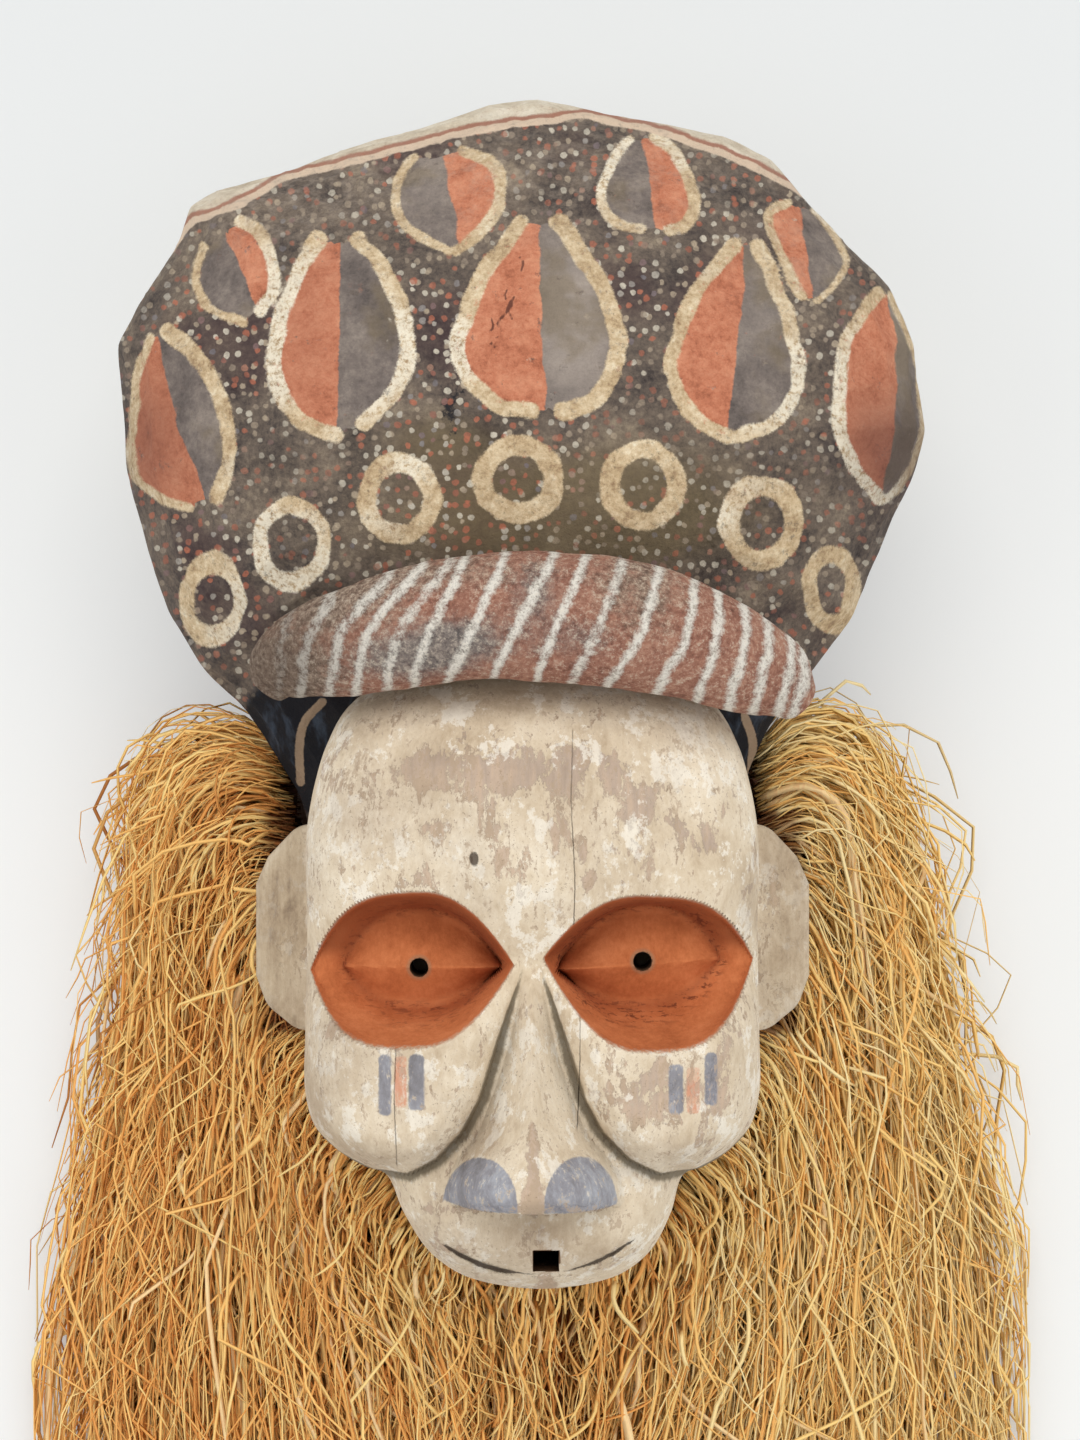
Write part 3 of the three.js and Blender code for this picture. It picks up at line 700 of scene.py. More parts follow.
def carveFace():
    shares = 1 - (1 - np.linspace(0, 1, face["frontRings"] + 1)[1:]) ** face["ringPower"]
    wood = wrapGrid("carvedFace", faceRings(face["columns"], shares))
    own = vertexPlaces(wood)
    for side in (-1, 1):
        cut(wood, earPlate(side), "UNION")
    own = np.vstack([own, vertexPlaces(wood)])
    cut(wood, faceHollow())
    for eye in face["eyes"]:
        cut(wood, pinTool(face["pupilRadius"], eye["side"] * eye["pupil"][0], eye["pupil"][1]))
    x, y, width, height = face["mouthHole"]
    cut(wood, boxTool((width, height, face["mouthLength"]), (x, y, face["mouthHeight"])))
    giveAttribute(wood, "outside", outsideMark(wood, own))
    return wood


faceMarks = {
    # painted bars on the cheeks, in the photograph's frame: left, top, right, bottom
    "blueBars": [
        (378, 1054, 392, 1116), (408, 1054, 425, 1111), (668, 1064, 684, 1115), (704, 1052, 718, 1106),
    ],
    "redBars": [(394, 1056, 407, 1108), (686, 1067, 700, 1114)],
    # half rounds on the wings of the nose: left, right, foot, top
    "nostrils": [(442, 518, 1207, 1157), (544, 618, 1206, 1156)], "nostrilLift": 0.8,
    # cracks in the wood, and a nail's hole
    "crackLeft": [(396, 1044), (394, 1100), (397, 1168)],
    "crackRight": [(573, 727), (571, 800), (575, 880), (573, 965), (580, 1000), (580, 1060), (577, 1132)],
    "nail": (474, 859, 4, 7),
    # the ears' greyer paint, in millimetres: from their root, foot, top and back; fainter on the right
    "earEdges": (89, 90, 186, 98), "rightEar": 0.6,
    # bare worn wood: middle, half sizes, strength
    "worn": [
        (460, 775, 75, 22, 1.3), (415, 770, 25, 20, 0.8), (520, 775, 30, 14, 1.0), (345, 785, 16, 12, 0.9),
        (560, 820, 16, 50, 1.0), (575, 760, 16, 18, 0.9), (612, 770, 14, 22, 1.3), (640, 800, 24, 22, 0.9),
        (680, 830, 22, 24, 0.9), (706, 840, 8, 18, 1.4), (665, 788, 10, 8, 1.3), (585, 850, 10, 14, 1.2),
        (590, 880, 9, 14, 1.3), (430, 830, 16, 8, 1.0), (412, 880, 30, 12, 1.0), (500, 850, 14, 30, 0.7),
        (510, 880, 20, 30, 0.5), (480, 1050, 14, 18, 0.8), (455, 1090, 10, 6, 1.2), (650, 1090, 50, 40, 1.1),
        (640, 1120, 12, 12, 1.2), (720, 1080, 14, 40, 0.9), (745, 985, 9, 44, 0.9), (533, 1165, 7, 48, 2.0),
        (533, 1200, 12, 12, 2.0), (547, 1284, 8, 12, 2.0), (530, 1209, 90, 4, 1.6), (640, 1020, 60, 20, 0.5),
        (720, 960, 16, 60, 0.5), (330, 1020, 18, 24, 0.5), (450, 1250, 20, 10, 0.8), (290, 930, 18, 60, 0.5),
        (775, 930, 18, 60, 0.6),
    ],
    # grey stains
    "stain": [
        (545, 1228, 30, 10, 0.4), (370, 830, 50, 50, 0.5), (500, 705, 160, 14, 0.7), (285, 930, 26, 90, 1.2),
        (785, 930, 26, 90, 0.8), (340, 1030, 24, 26, 0.5), (360, 760, 40, 40, 0.4), (520, 1250, 90, 40, 0.7),
        (310, 1100, 24, 50, 0.6), (400, 1160, 60, 20, 0.6), (480, 1140, 30, 30, 0.7),
        (700, 1150, 60, 20, 0.6), (690, 730, 60, 20, 0.5), (440, 1200, 20, 30, 0.5),
    ],
}


def boxDistance(u, v, left, top, right, bottom, corner):
    # distance inside a rounded bar, in pixels
    dx = np.abs(u - (left + right) / 2) - ((right - left) / 2 - corner)
    dy = np.abs(v - (top + bottom) / 2) - ((bottom - top) / 2 - corner)
    return corner - np.hypot(np.maximum(dx, 0), np.maximum(dy, 0)) - np.minimum(np.maximum(dx, dy), 0)


def barsDistance(u, v, bars, corner):
    distance = np.full(np.shape(u), -50.0)
    for bar in bars:
        distance = np.maximum(distance, boxDistance(u, v, *bar, corner))
    return distance


def softSpot(u, v, spots):
    total = np.zeros(np.shape(u))
    for x, y, halfX, halfY, strength in spots:
        total = total + strength * np.exp(-(((u - x) / halfX) ** 2 + ((v - y) / halfY) ** 2))
    return total


def wingPaint(u, v, overFoot):
    # how far inside the half rounds on the wings of the nose a point is, in pixels
    paint = np.full(np.shape(u), -50.0)
    for left, right, foot, top in faceMarks["nostrils"]:
        across = (u - (left + right) / 2) / ((right - left) / 2)
        arch = (foot - v) / (foot - top)
        dome = (1 - np.sqrt(np.clip(across ** 2, 0, 9) + np.clip(arch, 0, 9) ** 2)) * (foot - top)
        paint = np.maximum(paint, np.minimum(dome, (overFoot - faceMarks["nostrilLift"]) * 2.7))
    return paint


def grooveDirtAndShade(front, y, z, slit, shown):
    # dirt and painted shade in the groove beside the lobes, around the lips' parting and under the nose
    border = lineDistance(face["cheekBorder"], np.abs(front), y)
    span = 1.2 + 2 * ease((122 - y) / 32)
    groove = np.exp(-((np.minimum(border, 0) / span) ** 2) - (np.maximum(border, 0) * 2 / span) ** 2)
    groove = groove * ease((134 - y) / 20) * ease((z - 147) / 8)
    underNose = np.exp(-(((y - noseFoot(front) + 0.4) / 0.8) ** 2)) * ease((33 - np.abs(front)) / 8)
    return groove + 0.6 * np.exp(-((slit / 2.5) ** 2)) * shown + 0.8 * underNose


def markFace(wood):
    x, y, z = vertexPlaces(wood).T
    u, v = toPicture(x, y, z)
    front = x - jawLean(y)
    _, shares = cutSockets(front, y, z)
    blueBars = barsDistance(u, v, faceMarks["blueBars"], 5)
    shares["blue"] = np.maximum(blueBars, wingPaint(u, v, y - noseFoot(front)))
    shares["red"] = barsDistance(u, v, faceMarks["redBars"], 3)
    for name in ("crackLeft", "crackRight"):
        line = faceMarks[name]
        shares[name] = np.clip(lineDistance(line, u, v), -20, 20)
        shares[name + "Shown"] = ease((v - line[0][1]) / 6) * ease((line[-1][1] - v) / 6)
    nailX, nailY, nailW, nailH = faceMarks["nail"]
    shares["nail"] = 3 * (np.hypot((u - nailX) / nailW, (v - nailY) / nailH) - 1)
    slit = lineDistance(slitLine(), x, y)
    shares["slit"] = np.clip(slit, -9, 9)
    shares["slitShown"] = slitShown(front, y)
    toPupil = [np.hypot(front - eye["side"] * eye["pupil"][0], y - eye["pupil"][1]) for eye in face["eyes"]]
    shares["pupil"] = np.minimum(*toPupil) - face["pupilRadius"]
    inner, foot, top, back = faceMarks["earEdges"]
    ear = ease((np.abs(x) - inner) / 3) * ease((y - foot) / 8) * ease((top - y) / 8) * (z > back)
    shares["ear"] = ear * np.where(x < 0, 1.0, faceMarks["rightEar"])
    for name in ("worn", "stain"):
        shares[name] = softSpot(u, v, faceMarks[name])
    shares["grime"] = grooveDirtAndShade(front, y, z, slit, shares["slitShown"])
    giveAttributes(wood, shares)


carvedFace = carveFace()
markFace(carvedFace)
shadeSmooth(carvedFace, 35)
print("stage: face carved,", len(carvedFace.data.polygons), "faces")

# the cloth cap

cap = {
    "centre": (-4, 326), "sideHeight": 95, "wall": 7, "bulge": (2.7, 0.6),
    "front": [
        (110, 118), (160, 124), (200, 140), (235, 160), (262, 176),
        (300, 186), (350, 181), (420, 166), (480, 150),
    ],
    "outline": [
        (1, 475.5), (37, 468), (79, 460), (98, 450), (112, 434), (127, 417.6), (146, 398), (156.6, 374),
        (157.5, 358), (160.7, 338), (155.4, 319), (142.3, 291.6), (130.5, 262), (116, 243), (99, 222),
        (87.3, 197),
        (80, 150), (0, 120), (-86, 150), (-94.6, 190), (-104, 204), (-117.5, 225), (-134, 240), (-148, 262),
        (-156, 284), (-166.4, 321.7), (-167.5, 350), (-170.5, 374), (-159, 395), (-145, 415), (-140, 431),
        (-130.5, 437), (-101, 445), (-79, 454), (-52.6, 461.6), (-17, 472.6),
    ],
    "frontShares": [0, 0.32, 0.58, 0.78, 0.9, 0.965, 1],
    "backShares": [(0.985, 58), (0.93, 26), (0.86, 8), (0.74, 0), (0, 0)],
    "mouthY": 192, "mouthSlant": 0.22, "mouthBox": (500, 300, 600), "mouthHeight": 95,
    "acrossEach": 14, "frontSteps": [26, 22, 20, 16, 10, 8], "backSteps": [10, 8, 6, 5, 3],
    "sag": 1.8, "sagRings": (2, 8), "rounding": 7, "faceRoom": 0.6,
    "lumps": ((0.5, 16, 11), (0.22, 5, 12)), "lumpsFrom": 12,
}


def bulged(share, y):
    # the height of the front: it swells from the sides to the middle
    side = cap["sideHeight"]
    power, root = cap["bulge"]
    return side + (curveThrough(cap["front"], y) - side) * np.clip(1 - share ** power, 0, 1) ** root


def capStations(inset):
    # the coarse rings over the canes, each as shares of the outline and heights
    centre = np.array(cap["centre"])
    outline = np.array(cap["outline"], float)
    side = float(cap["sideHeight"])
    reach = np.hypot(*(outline - centre).T)

    def ring(share, heightAt):
        p = centre + (outline - centre) * (share * (1 - inset / reach))[:, None]
        return np.column_stack([p, heightAt(p)])

    rings = [ring(share, lambda p: bulged(share, p[:, 1]) - inset) for share in cap["frontShares"][:-1]]
    rings.append(ring(cap["frontShares"][-1], lambda p: np.full(len(p), side)))
    for share, height in cap["backShares"]:
        level = height + inset * (1 - height / side)
        rings.append(ring(share, lambda p: np.full(len(p), float(level))))
    return np.stack(rings)


def capInside():
    rings = capStations(cap["wall"])
    return wrapGrid("capInside", [rings[0][:1], *rings[1:-1], rings[-1][:1]])


def drapedRings():
    # finer rings between the coarse ones, and how far the cloth sags between its canes at each point
    coarse = capStations(0)
    columns = coarse.shape[1] * cap["acrossEach"]
    u = np.arange(columns) / cap["acrossEach"]
    left = u.astype(int)
    w = (u - left)[:, None]
    stations = coarse[:, left] * (1 - w) + coarse[:, (left + 1) % coarse.shape[1]] * w
    rows = [stations[0]]
    sag = [np.zeros(columns)]
    hang = 4 * w[:, 0] * (1 - w[:, 0])
    first, end = cap["sagRings"]
    for k, count in enumerate(cap["frontSteps"] + cap["backSteps"]):
        for t in np.arange(1, count + 1) / count:
            rows.append(stations[k] * (1 - t) + stations[k + 1] * t)
            sag.append(hang * 4 * t * (1 - t) * (first <= k < end))
    return np.stack(rows), np.stack(sag)


def capOutside():
    table, sag = drapedRings()
    for _ in range(cap["rounding"]):  # the cloth rounds over its canes
        around = (np.roll(table, 1, axis=1) + 2 * table + np.roll(table, -1, axis=1)) / 4
        along = around.copy()
        along[1:-1] = (around[:-2] + 2 * around[1:-1] + around[2:]) / 4
        table = along
    table[-1] = table[-2] = table[-1].mean(axis=0)
    table[0] = table[0].mean(axis=0)
    across = np.roll(table, -1, axis=1) - np.roll(table, 1, axis=1)
    normal = np.cross(np.gradient(table, axis=0), across)
    normal /= np.maximum(np.linalg.norm(normal, axis=2, keepdims=True), 1e-9)
    outward = table - np.array([*cap["centre"], 80])
    normal *= np.sign((normal * outward).sum(axis=2, keepdims=True))
    lumps = grains(table, cap["lumps"]) - cap["sag"] * sag
    lumps = lumps * np.clip(table[..., 2] / cap["lumpsFrom"], 0, 1)
    return table + normal * lumps[..., None]


def unrolledPicture(table):
    # each point's place in the photograph's frame, with the sides unrolled past the turn of the form
    size = pixelSize(table[..., 2])
    u, v = toPicture(table[..., 0], table[..., 1], table[..., 2])
    flat = sum(cap["frontSteps"])
    step = np.linalg.norm(np.diff(table, axis=0), axis=2) / size[1:]
    far = np.cumsum(step[flat:], axis=0)
    du, dv = u[flat] - u[0, 0], v[flat] - v[0, 0]
    reach = np.hypot(du, dv)
    u[flat + 1:] = u[flat] + du / reach * far
    v[flat + 1:] = v[flat] + dv / reach * far
    return u, v


def mouthTool():
    # a slanting block that opens the cap towards the wearer
    slab = boxTool(cap["mouthBox"], (0, 0, 0))
    turn = cap["mouthSlant"]
    tilt = np.array([[1, 0, 0], [0, math.cos(turn), -math.sin(turn)], [0, math.sin(turn), math.cos(turn)]])
    place = np.array([0, cap["mouthY"] - 166, cap["mouthHeight"]])
    moveVertices(slab, vertexPlaces(slab) @ tilt + place)
    return slab


def sewCap():
    table = capOutside()
    u, v = unrolledPicture(table)
    cloth = wrapGrid("clothCap", [table[0][:1], *table[1:-1], table[-1][:1]])
    chart = dict(zip(placeKeys(table.reshape(-1, 3)), zip(u.ravel(), v.ravel())))
    own = vertexPlaces(cloth)
    cut(cloth, capInside())
    cut(cloth, mouthTool())
    cut(cloth, wrapGrid("faceRoom", faceRings(120, np.linspace(0.08, 1, 30), grow=cap["faceRoom"])))
    places = vertexPlaces(cloth)
    plain = zip(*toPicture(*places.T))
    known = np.array([chart.get(key, seen) for key, seen in zip(placeKeys(places), plain)])
    return cloth, known[:, 0], known[:, 1], outsideMark(cloth, own)


capPaint = {
    # drops in the photograph's frame: the left stroke and the right one with their widths, the
    # line between the two halves from top to bottom, and the side that is red
    "drops": [
        ([(150, 338), (138, 375), (132, 420), (131, 455), (140, 482), (162, 500), (188, 507)], 9,
         [(168, 330), (190, 350), (212, 380), (227, 420), (229, 462), (216, 498)], 15,
         [(158, 338), (168, 392), (176, 425), (201, 490)], -1),
        ([(318, 240), (300, 270), (283, 310), (274, 350), (277, 385), (291, 412), (312, 428), (337, 435)], 16,
         [(358, 238), (380, 265), (399, 302), (408, 340), (402, 376), (386, 402), (364, 422)], 16,
         [(339, 236), (338, 330), (337, 432)], -1),
        ([(519, 222), (506, 243), (488, 266), (472, 300), (458, 338), (459, 362), (474, 385), (500, 405),
          (532, 412)], 16,
         [(558, 222), (577, 250), (599, 280), (614, 318), (619, 350), (610, 380), (592, 400), (564, 412)], 18,
         [(538, 221), (540, 320), (545, 406)], -1),
        ([(736, 246), (715, 268), (690, 302), (676, 340), (671, 370), (681, 400), (700, 424), (727, 438)], 14,
         [(757, 245), (775, 284), (791, 330), (799, 370), (791, 400), (768, 426), (738, 437)], 14,
         [(744, 250), (738, 335), (733, 380), (724, 432)], -1),
        ([(879, 292), (861, 317), (845, 347), (839, 382), (839, 412), (843, 442), (856, 473), (879, 499)], 13,
         [(891, 294), (906, 330), (917, 370), (921, 402), (922, 430), (913, 462), (899, 487), (884, 500)], 7,
         [(886, 290), (894, 340), (896, 391), (890, 440), (880, 492)], -1),
        ([(205, 246), (196, 266), (198, 290), (212, 311), (243, 324)], 8,
         [(240, 221), (260, 233), (271, 258), (272, 288), (259, 312)], 13,
         [(225, 230), (240, 265), (262, 320)], 1),
        ([(412, 157), (397, 180), (395, 205), (406, 226), (427, 241), (449, 250)], 10,
         [(464, 151), (489, 161), (501, 182), (497, 206), (484, 226), (457, 249)], 12,
         [(441, 153), (452, 195), (459, 245)], 1),
        ([(631, 140), (614, 156), (603, 180), (602, 205), (616, 223), (642, 231)], 10,
         [(654, 138), (672, 151), (686, 176), (694, 202), (688, 222), (668, 231)], 12,
         [(643, 140), (650, 185), (657, 227)], 1),
        ([(787, 204), (769, 212), (773, 236), (785, 264), (802, 296)], 10,
         [(812, 211), (836, 238), (844, 262), (836, 282), (815, 300)], 7,
         [(800, 206), (805, 250), (810, 292)], -1),
    ],
    # rings: middle, outer half sizes, inner half sizes
    "rings": [
        (212, 600, 33, 48, 20, 27), (291, 545, 40, 47, 25, 29), (399, 499, 42, 46, 23.5, 25.6),
        (518, 480, 46, 44, 26, 24), (643, 485, 44, 44, 24, 27), (761, 523, 42, 47, 22, 27.5),
        (831, 589, 29, 44, 15, 25),
    ],
    # the lower edge of the pale top panel
    "band": [
        (60, 420), (100, 345), (140, 290), (177, 247), (197, 224), (244, 206), (285, 181), (340, 168),
        (443, 140), (516, 127), (589, 119), (633, 128), (667, 139), (702, 149), (743, 165), (784, 188),
        (812, 203), (860, 240), (920, 300), (980, 380),
    ],
    # beige edges of the dark cloth at the temples
    "straps": [[(322, 702), (304, 722), (299, 745), (300, 782)], [(744, 716), (752, 740), (750, 775)]],
    "cloud": [(520, 520, 160, 60, 1.0), (620, 510, 120, 50, 0.8), (440, 440, 60, 30, 0.7)],  # olive brown
    "dark": [
        (455, 395, 26, 32, 0.9), (448, 425, 16, 24, 0.7), (700, 600, 90, 30, 0.6),
        (250, 560, 60, 60, 0.5), (560, 510, 40, 20, 0.5), (420, 560, 50, 20, 0.5),
        (475, 380, 14, 10, 0.8),
    ],
    "flap": [(310, 740, 60, 60, 2.5), (755, 750, 45, 50, 2.5)],
    # short dark scratches in the red of the middle drop
    "scribbles": [
        [(508, 289), (504, 297), (512, 303), (505, 312), (499, 320)],
        [(514, 296), (507, 308), (512, 318)], [(503, 313), (495, 322), (503, 330)],
        [(489, 318), (492, 326), (486, 332)], [(497, 336), (489, 341), (495, 346)],
        [(521, 258), (526, 264), (522, 272)],
    ],
    "greyLit": [
        (575, 320, 40, 90, 1.2), (770, 300, 30, 60, 0.6), (885, 340, 24, 60, 0.9),
        (430, 190, 24, 30, 0.4),
    ],
    "redDim": [
        (150, 430, 40, 90, 1.0), (305, 340, 40, 100, 0.5), (870, 450, 40, 60, 0.9),
        (620, 190, 30, 50, 0.2),
    ],
    "shade": [
        (900, 455, 50, 60, 0.8), (130, 450, 50, 50, 0.35), (80, 600, 60, 90, 0.4),
        (960, 560, 60, 90, 0.4),
    ],
    "lit": [(270, 200, 120, 50, 0.9), (560, 170, 240, 60, 0.8), (800, 260, 60, 60, 0.5)],
}
# how the brush draws them, in pixels
capPaintRules = {
    "away": -50.0, "scribbleAway": -9.0,  # what a point far from any paint is given
    "strokePoints": 22, "strapPoints": 12,  # points along each drawn curve
    "strapHalf": 4.5, "scribbleHalf": 1,  # half the widths
    "overlap": 0.8,  # each half of a drop runs this far over the line between them
    # how the hand wavers: height, size and seed, across and down the picture
    "waver": (((2.2, 24, 21), (1.2, 9, 22)), ((2.2, 24, 23), (1.2, 9, 24))),
    "margin": 25,  # around a drop, where its distances are still worked out
}


def insideShape(corners, u, v):
    odd = np.zeros(np.shape(u), bool)
    for (ax, ay), (bx, by) in zip(corners, np.roll(corners, -1, axis=0)):
        if ay == by:
            continue
        crosses = (ay > v) != (by > v)
        odd ^= crosses & (u < (bx - ax) * (v - ay) / (by - ay) + ax)
    return odd


def drawDrop(u, v, drop):
    # the cream strokes, the red half and the grey half: pixels inside each, negative outside
    left, leftWidth, right, rightWidth, divider, redSide = drop
    count = capPaintRules["strokePoints"]
    left, right = (smoothCurve(stroke, np.linspace(0, 1, count)) for stroke in (left, right))
    outline = np.vstack([left, right[::-1]])
    lines = left, right, outline[[0, -1]], outline[[count - 1, count]]
    toLeft, toRight, toTop, toFoot = (np.abs(lineDistance(line, u, v)) for line in lines)
    stroke = np.maximum(leftWidth / 2 - toLeft, rightWidth / 2 - toRight)
    inside = insideShape(outline, u, v)
    edge = np.minimum(toLeft, toRight)
    fill = np.where(inside, edge, -edge) + 1
    closing = np.minimum(toTop, toFoot)
    fill = np.where(inside, np.minimum(fill, closing), np.minimum(fill, -np.minimum(closing, edge)))
    across = -lineDistance(divider, u, v) * redSide
    overlap = capPaintRules["overlap"]
    return stroke, np.minimum(fill, across + overlap), np.minimum(fill, -across + overlap)


def ringPaint(u, v, ring):
    x, y, outerX, outerY, innerX, innerY = ring
    outer = (1 - np.hypot((u - x) / outerX, (v - y) / outerY)) * (outerX + outerY) / 2
    inner = (np.hypot((u - x) / innerX, (v - y) / innerY) - 1) * (innerX + innerY) / 2
    return np.minimum(outer, inner)


def strokes(lines, half, least, u, v):
    # how far inside the nearest of some lines a point is, in pixels
    inside = [half - np.abs(lineDistance(line, u, v)) for line in lines]
    return np.maximum(np.max(inside, axis=0), least)


def markCap(cloth, u, v, outside):
    rules = capPaintRules
    line, red, grey = (np.full(len(u), rules["away"]) for _ in range(3))
    flat = np.column_stack([u, v, u * 0])
    hu, hv = u + grains(flat, rules["waver"][0]), v + grains(flat, rules["waver"][1])
    for drop in capPaint["drops"]:
        corners = np.array(drop[0] + drop[2], float)
        low, high = corners.min(axis=0) - rules["margin"], corners.max(axis=0) + rules["margin"]
        near = (hu > low[0]) & (hu < high[0]) & (hv > low[1]) & (hv < high[1])
        for field, value in zip((line, red, grey), drawDrop(hu[near], hv[near], drop)):
            field[near] = np.maximum(field[near], value)
    for ring in capPaint["rings"]:
        line = np.maximum(line, ringPaint(hu, hv, ring))
    straps = [smoothCurve(strap, np.linspace(0, 1, rules["strapPoints"])) for strap in capPaint["straps"]]
    strap = strokes(straps, rules["strapHalf"], rules["away"], u, v)
    shares = {"line": line, "red": red, "grey": grey, "strap": strap, "outside": outside}
    shares["band"] = -lineDistance(capPaint["band"], hu, hv)
    half, least = rules["scribbleHalf"], rules["scribbleAway"]
    shares["scribble"] = strokes(capPaint["scribbles"], half, least, hu, hv)
    for name in ("cloud", "dark", "flap", "shade", "lit", "greyLit", "redDim"):
        shares[name] = softSpot(u, v, capPaint[name])
    shares["chartU"], shares["chartV"] = u / 100, v / 100
    giveAttributes(cloth, shares)


clothCap, sheetU, sheetV, capOuter = sewCap()
markCap(clothCap, sheetU, sheetV, capOuter)
shadeSmooth(clothCap, 50)
print("stage: cap sewn,", len(clothCap.data.polygons), "faces")

# the stuffed roll over the brow

roll = {
    "flatten": 0.86, "along": 260, "around": 84,
    "lumps": ((0.5, 14, 31), (0.25, (4, 7, 4), 32)),  # height, size and seed
    "clear": 0.8, "tips": (3, 1), "tipClear": 0.9,  # room under it, and how far its ends are drawn out
    "path": [
        (-103, 234, 160, 8), (-98, 240, 163, 13), (-86, 246.5, 172, 17.5), (-70, 250.5, 181, 20.5),
        (-48, 255.5, 189, 22.5), (-24, 259.5, 194, 23.5), (3, 260, 196, 24.5), (34, 257, 194, 24.5),
        (58, 251.5, 188, 22.5), (79, 243.5, 179, 19.5), (94, 236.5, 169, 15.5), (103, 229, 162, 9),
    ],
    # white stripes in the photograph's frame, each from its foot to its head, and how strong it is
    "stripes": [
        ([(280, 682), (281, 640), (292, 608)], 0.35), ([(302, 668), (309, 636), (329, 602)], 0.6),
        ([(330, 690), (343, 630), (389, 572)], 0.7), ([(356, 690), (371, 626), (424, 560)], 0.85),
        ([(384, 700), (400, 632), (451, 556)], 0.6), ([(412, 695), (424, 645), (467, 552)], 0.75),
        ([(446, 690), (470, 634), (508, 548)], 0.85), ([(490, 690), (522, 616), (557, 545)], 1.0),
        ([(534, 690), (556, 630), (590, 545)], 0.85), ([(566, 700), (598, 628), (624, 552)], 0.6),
        ([(598, 700), (641, 637), (660, 556)], 0.95), ([(650, 706), (688, 633), (696, 566)], 1.0),
        ([(692, 712), (717, 640), (719, 578)], 0.9), ([(726, 716), (746, 640), (745, 592)], 0.75),
        ([(752, 720), (768, 648), (767, 604)], 0.7), ([(776, 722), (790, 672), (790, 622)], 0.85),
        ([(790, 722), (804, 682), (803, 640)], 0.8),
    ],
    "stripeWidth": 9, "stripePoints": 16, "stripeEnds": (6, 60), "waver": ((1.8, 14, 33),),
    "stain": [
        (455, 640, 60, 26, 1.0), (535, 590, 28, 30, 0.7), (575, 640, 45, 24, 0.5),
        (400, 660, 60, 22, 0.8),
    ],
    "dim": [(262, 672, 50, 60, 1.0), (320, 640, 60, 60, 0.4)],
    "worn": [
        (270, 680, 70, 50, 1.0), (330, 600, 70, 30, 0.7), (440, 570, 120, 20, 0.5),
        (640, 590, 50, 50, 0.55),
    ],
}


def capFrontHeight(x, y):
    cx, cy = cap["centre"]
    outline = np.array(cap["outline"], float) - np.array([cx, cy])
    share = np.hypot(x - cx, y - cy) / reachOf(outline, x - cx, y - cy)
    return np.where(share < 1, bulged(share, y), 0)


def faceFrontHeight(x, y):
    dx, dy, edge = fromCentre(x, y)
    toEdge = edge - np.hypot(dx, dy)
    return np.where(toEdge > 0, frontHeight(x - jawLean(y), y, np.maximum(toEdge, 0)), 0)


def stuffRoll():
    path = np.array(roll["path"], float)
    places = np.linspace(0, 1, roll["along"])
    middle = smoothCurve(path[:, :3], places)
    along = np.gradient(middle, axis=0)
    along /= np.linalg.norm(along, axis=1, keepdims=True)
    sideways = np.stack([-along[:, 1], along[:, 0], along[:, 0] * 0], axis=1)
    sideways /= np.linalg.norm(sideways, axis=1, keepdims=True)
    outward = np.cross(along, sideways)
    pointed = np.column_stack([np.arange(len(path)), path[:, 3]])
    thickness = curveThrough(pointed, places * (len(path) - 1))
    turn = np.linspace(0, 2 * math.pi, roll["around"], endpoint=False)[None, :, None]
    ring = np.cos(turn) * sideways[:, None] + roll["flatten"] * np.sin(turn) * outward[:, None]
    table = middle[:, None] + ring * thickness[:, None, None]
    table = table + ring * grains(table, roll["lumps"])[..., None]
    under = np.stack([height(table[..., 0], table[..., 1]) for height in (capFrontHeight, faceFrontHeight)])
    table[..., 2] = np.maximum(table[..., 2], under.max(axis=0) + roll["clear"])
    ends = np.stack([middle[0] - along[0] * roll["tips"][0], middle[-1] + along[-1] * roll["tips"][1]])
    ends[:, 2] = np.maximum(ends[:, 2], capFrontHeight(ends[:, 0], ends[:, 1]) + roll["tipClear"])
    return wrapGrid("stripedRoll", [ends[:1], *table, ends[1:]])


def markRoll(piece):
    u, v = toPicture(*vertexPlaces(piece).T)
    u = u + grains(np.column_stack([u, v, u * 0]), roll["waver"])
    stripe = np.full(len(u), -50.0)
    bright = np.zeros(len(u))
    outX, outY = roll["stripeEnds"]
    for line, strength in roll["stripes"]:
        (footX, footY), (headX, headY) = line[0], line[-1]
        longer = [(footX - outX, footY + outY), *line, (headX + outX, headY - outY)]
        drawn = smoothCurve(longer, np.linspace(0, 1, roll["stripePoints"]))
        here = roll["stripeWidth"] / 2 - np.abs(lineDistance(drawn, u, v))
        bright = np.where(here > stripe, strength, bright)
        stripe = np.maximum(stripe, here)
    shares = {"stripe": stripe, "bright": bright}
    for name in ("stain", "worn", "dim"):
        shares[name] = softSpot(u, v, roll[name])
    giveAttributes(piece, shares)


brow = stuffRoll()
markRoll(brow)
shadeSmooth(brow, 60)
print("stage: roll stuffed,", len(brow.data.polygons), "faces")

# raffia

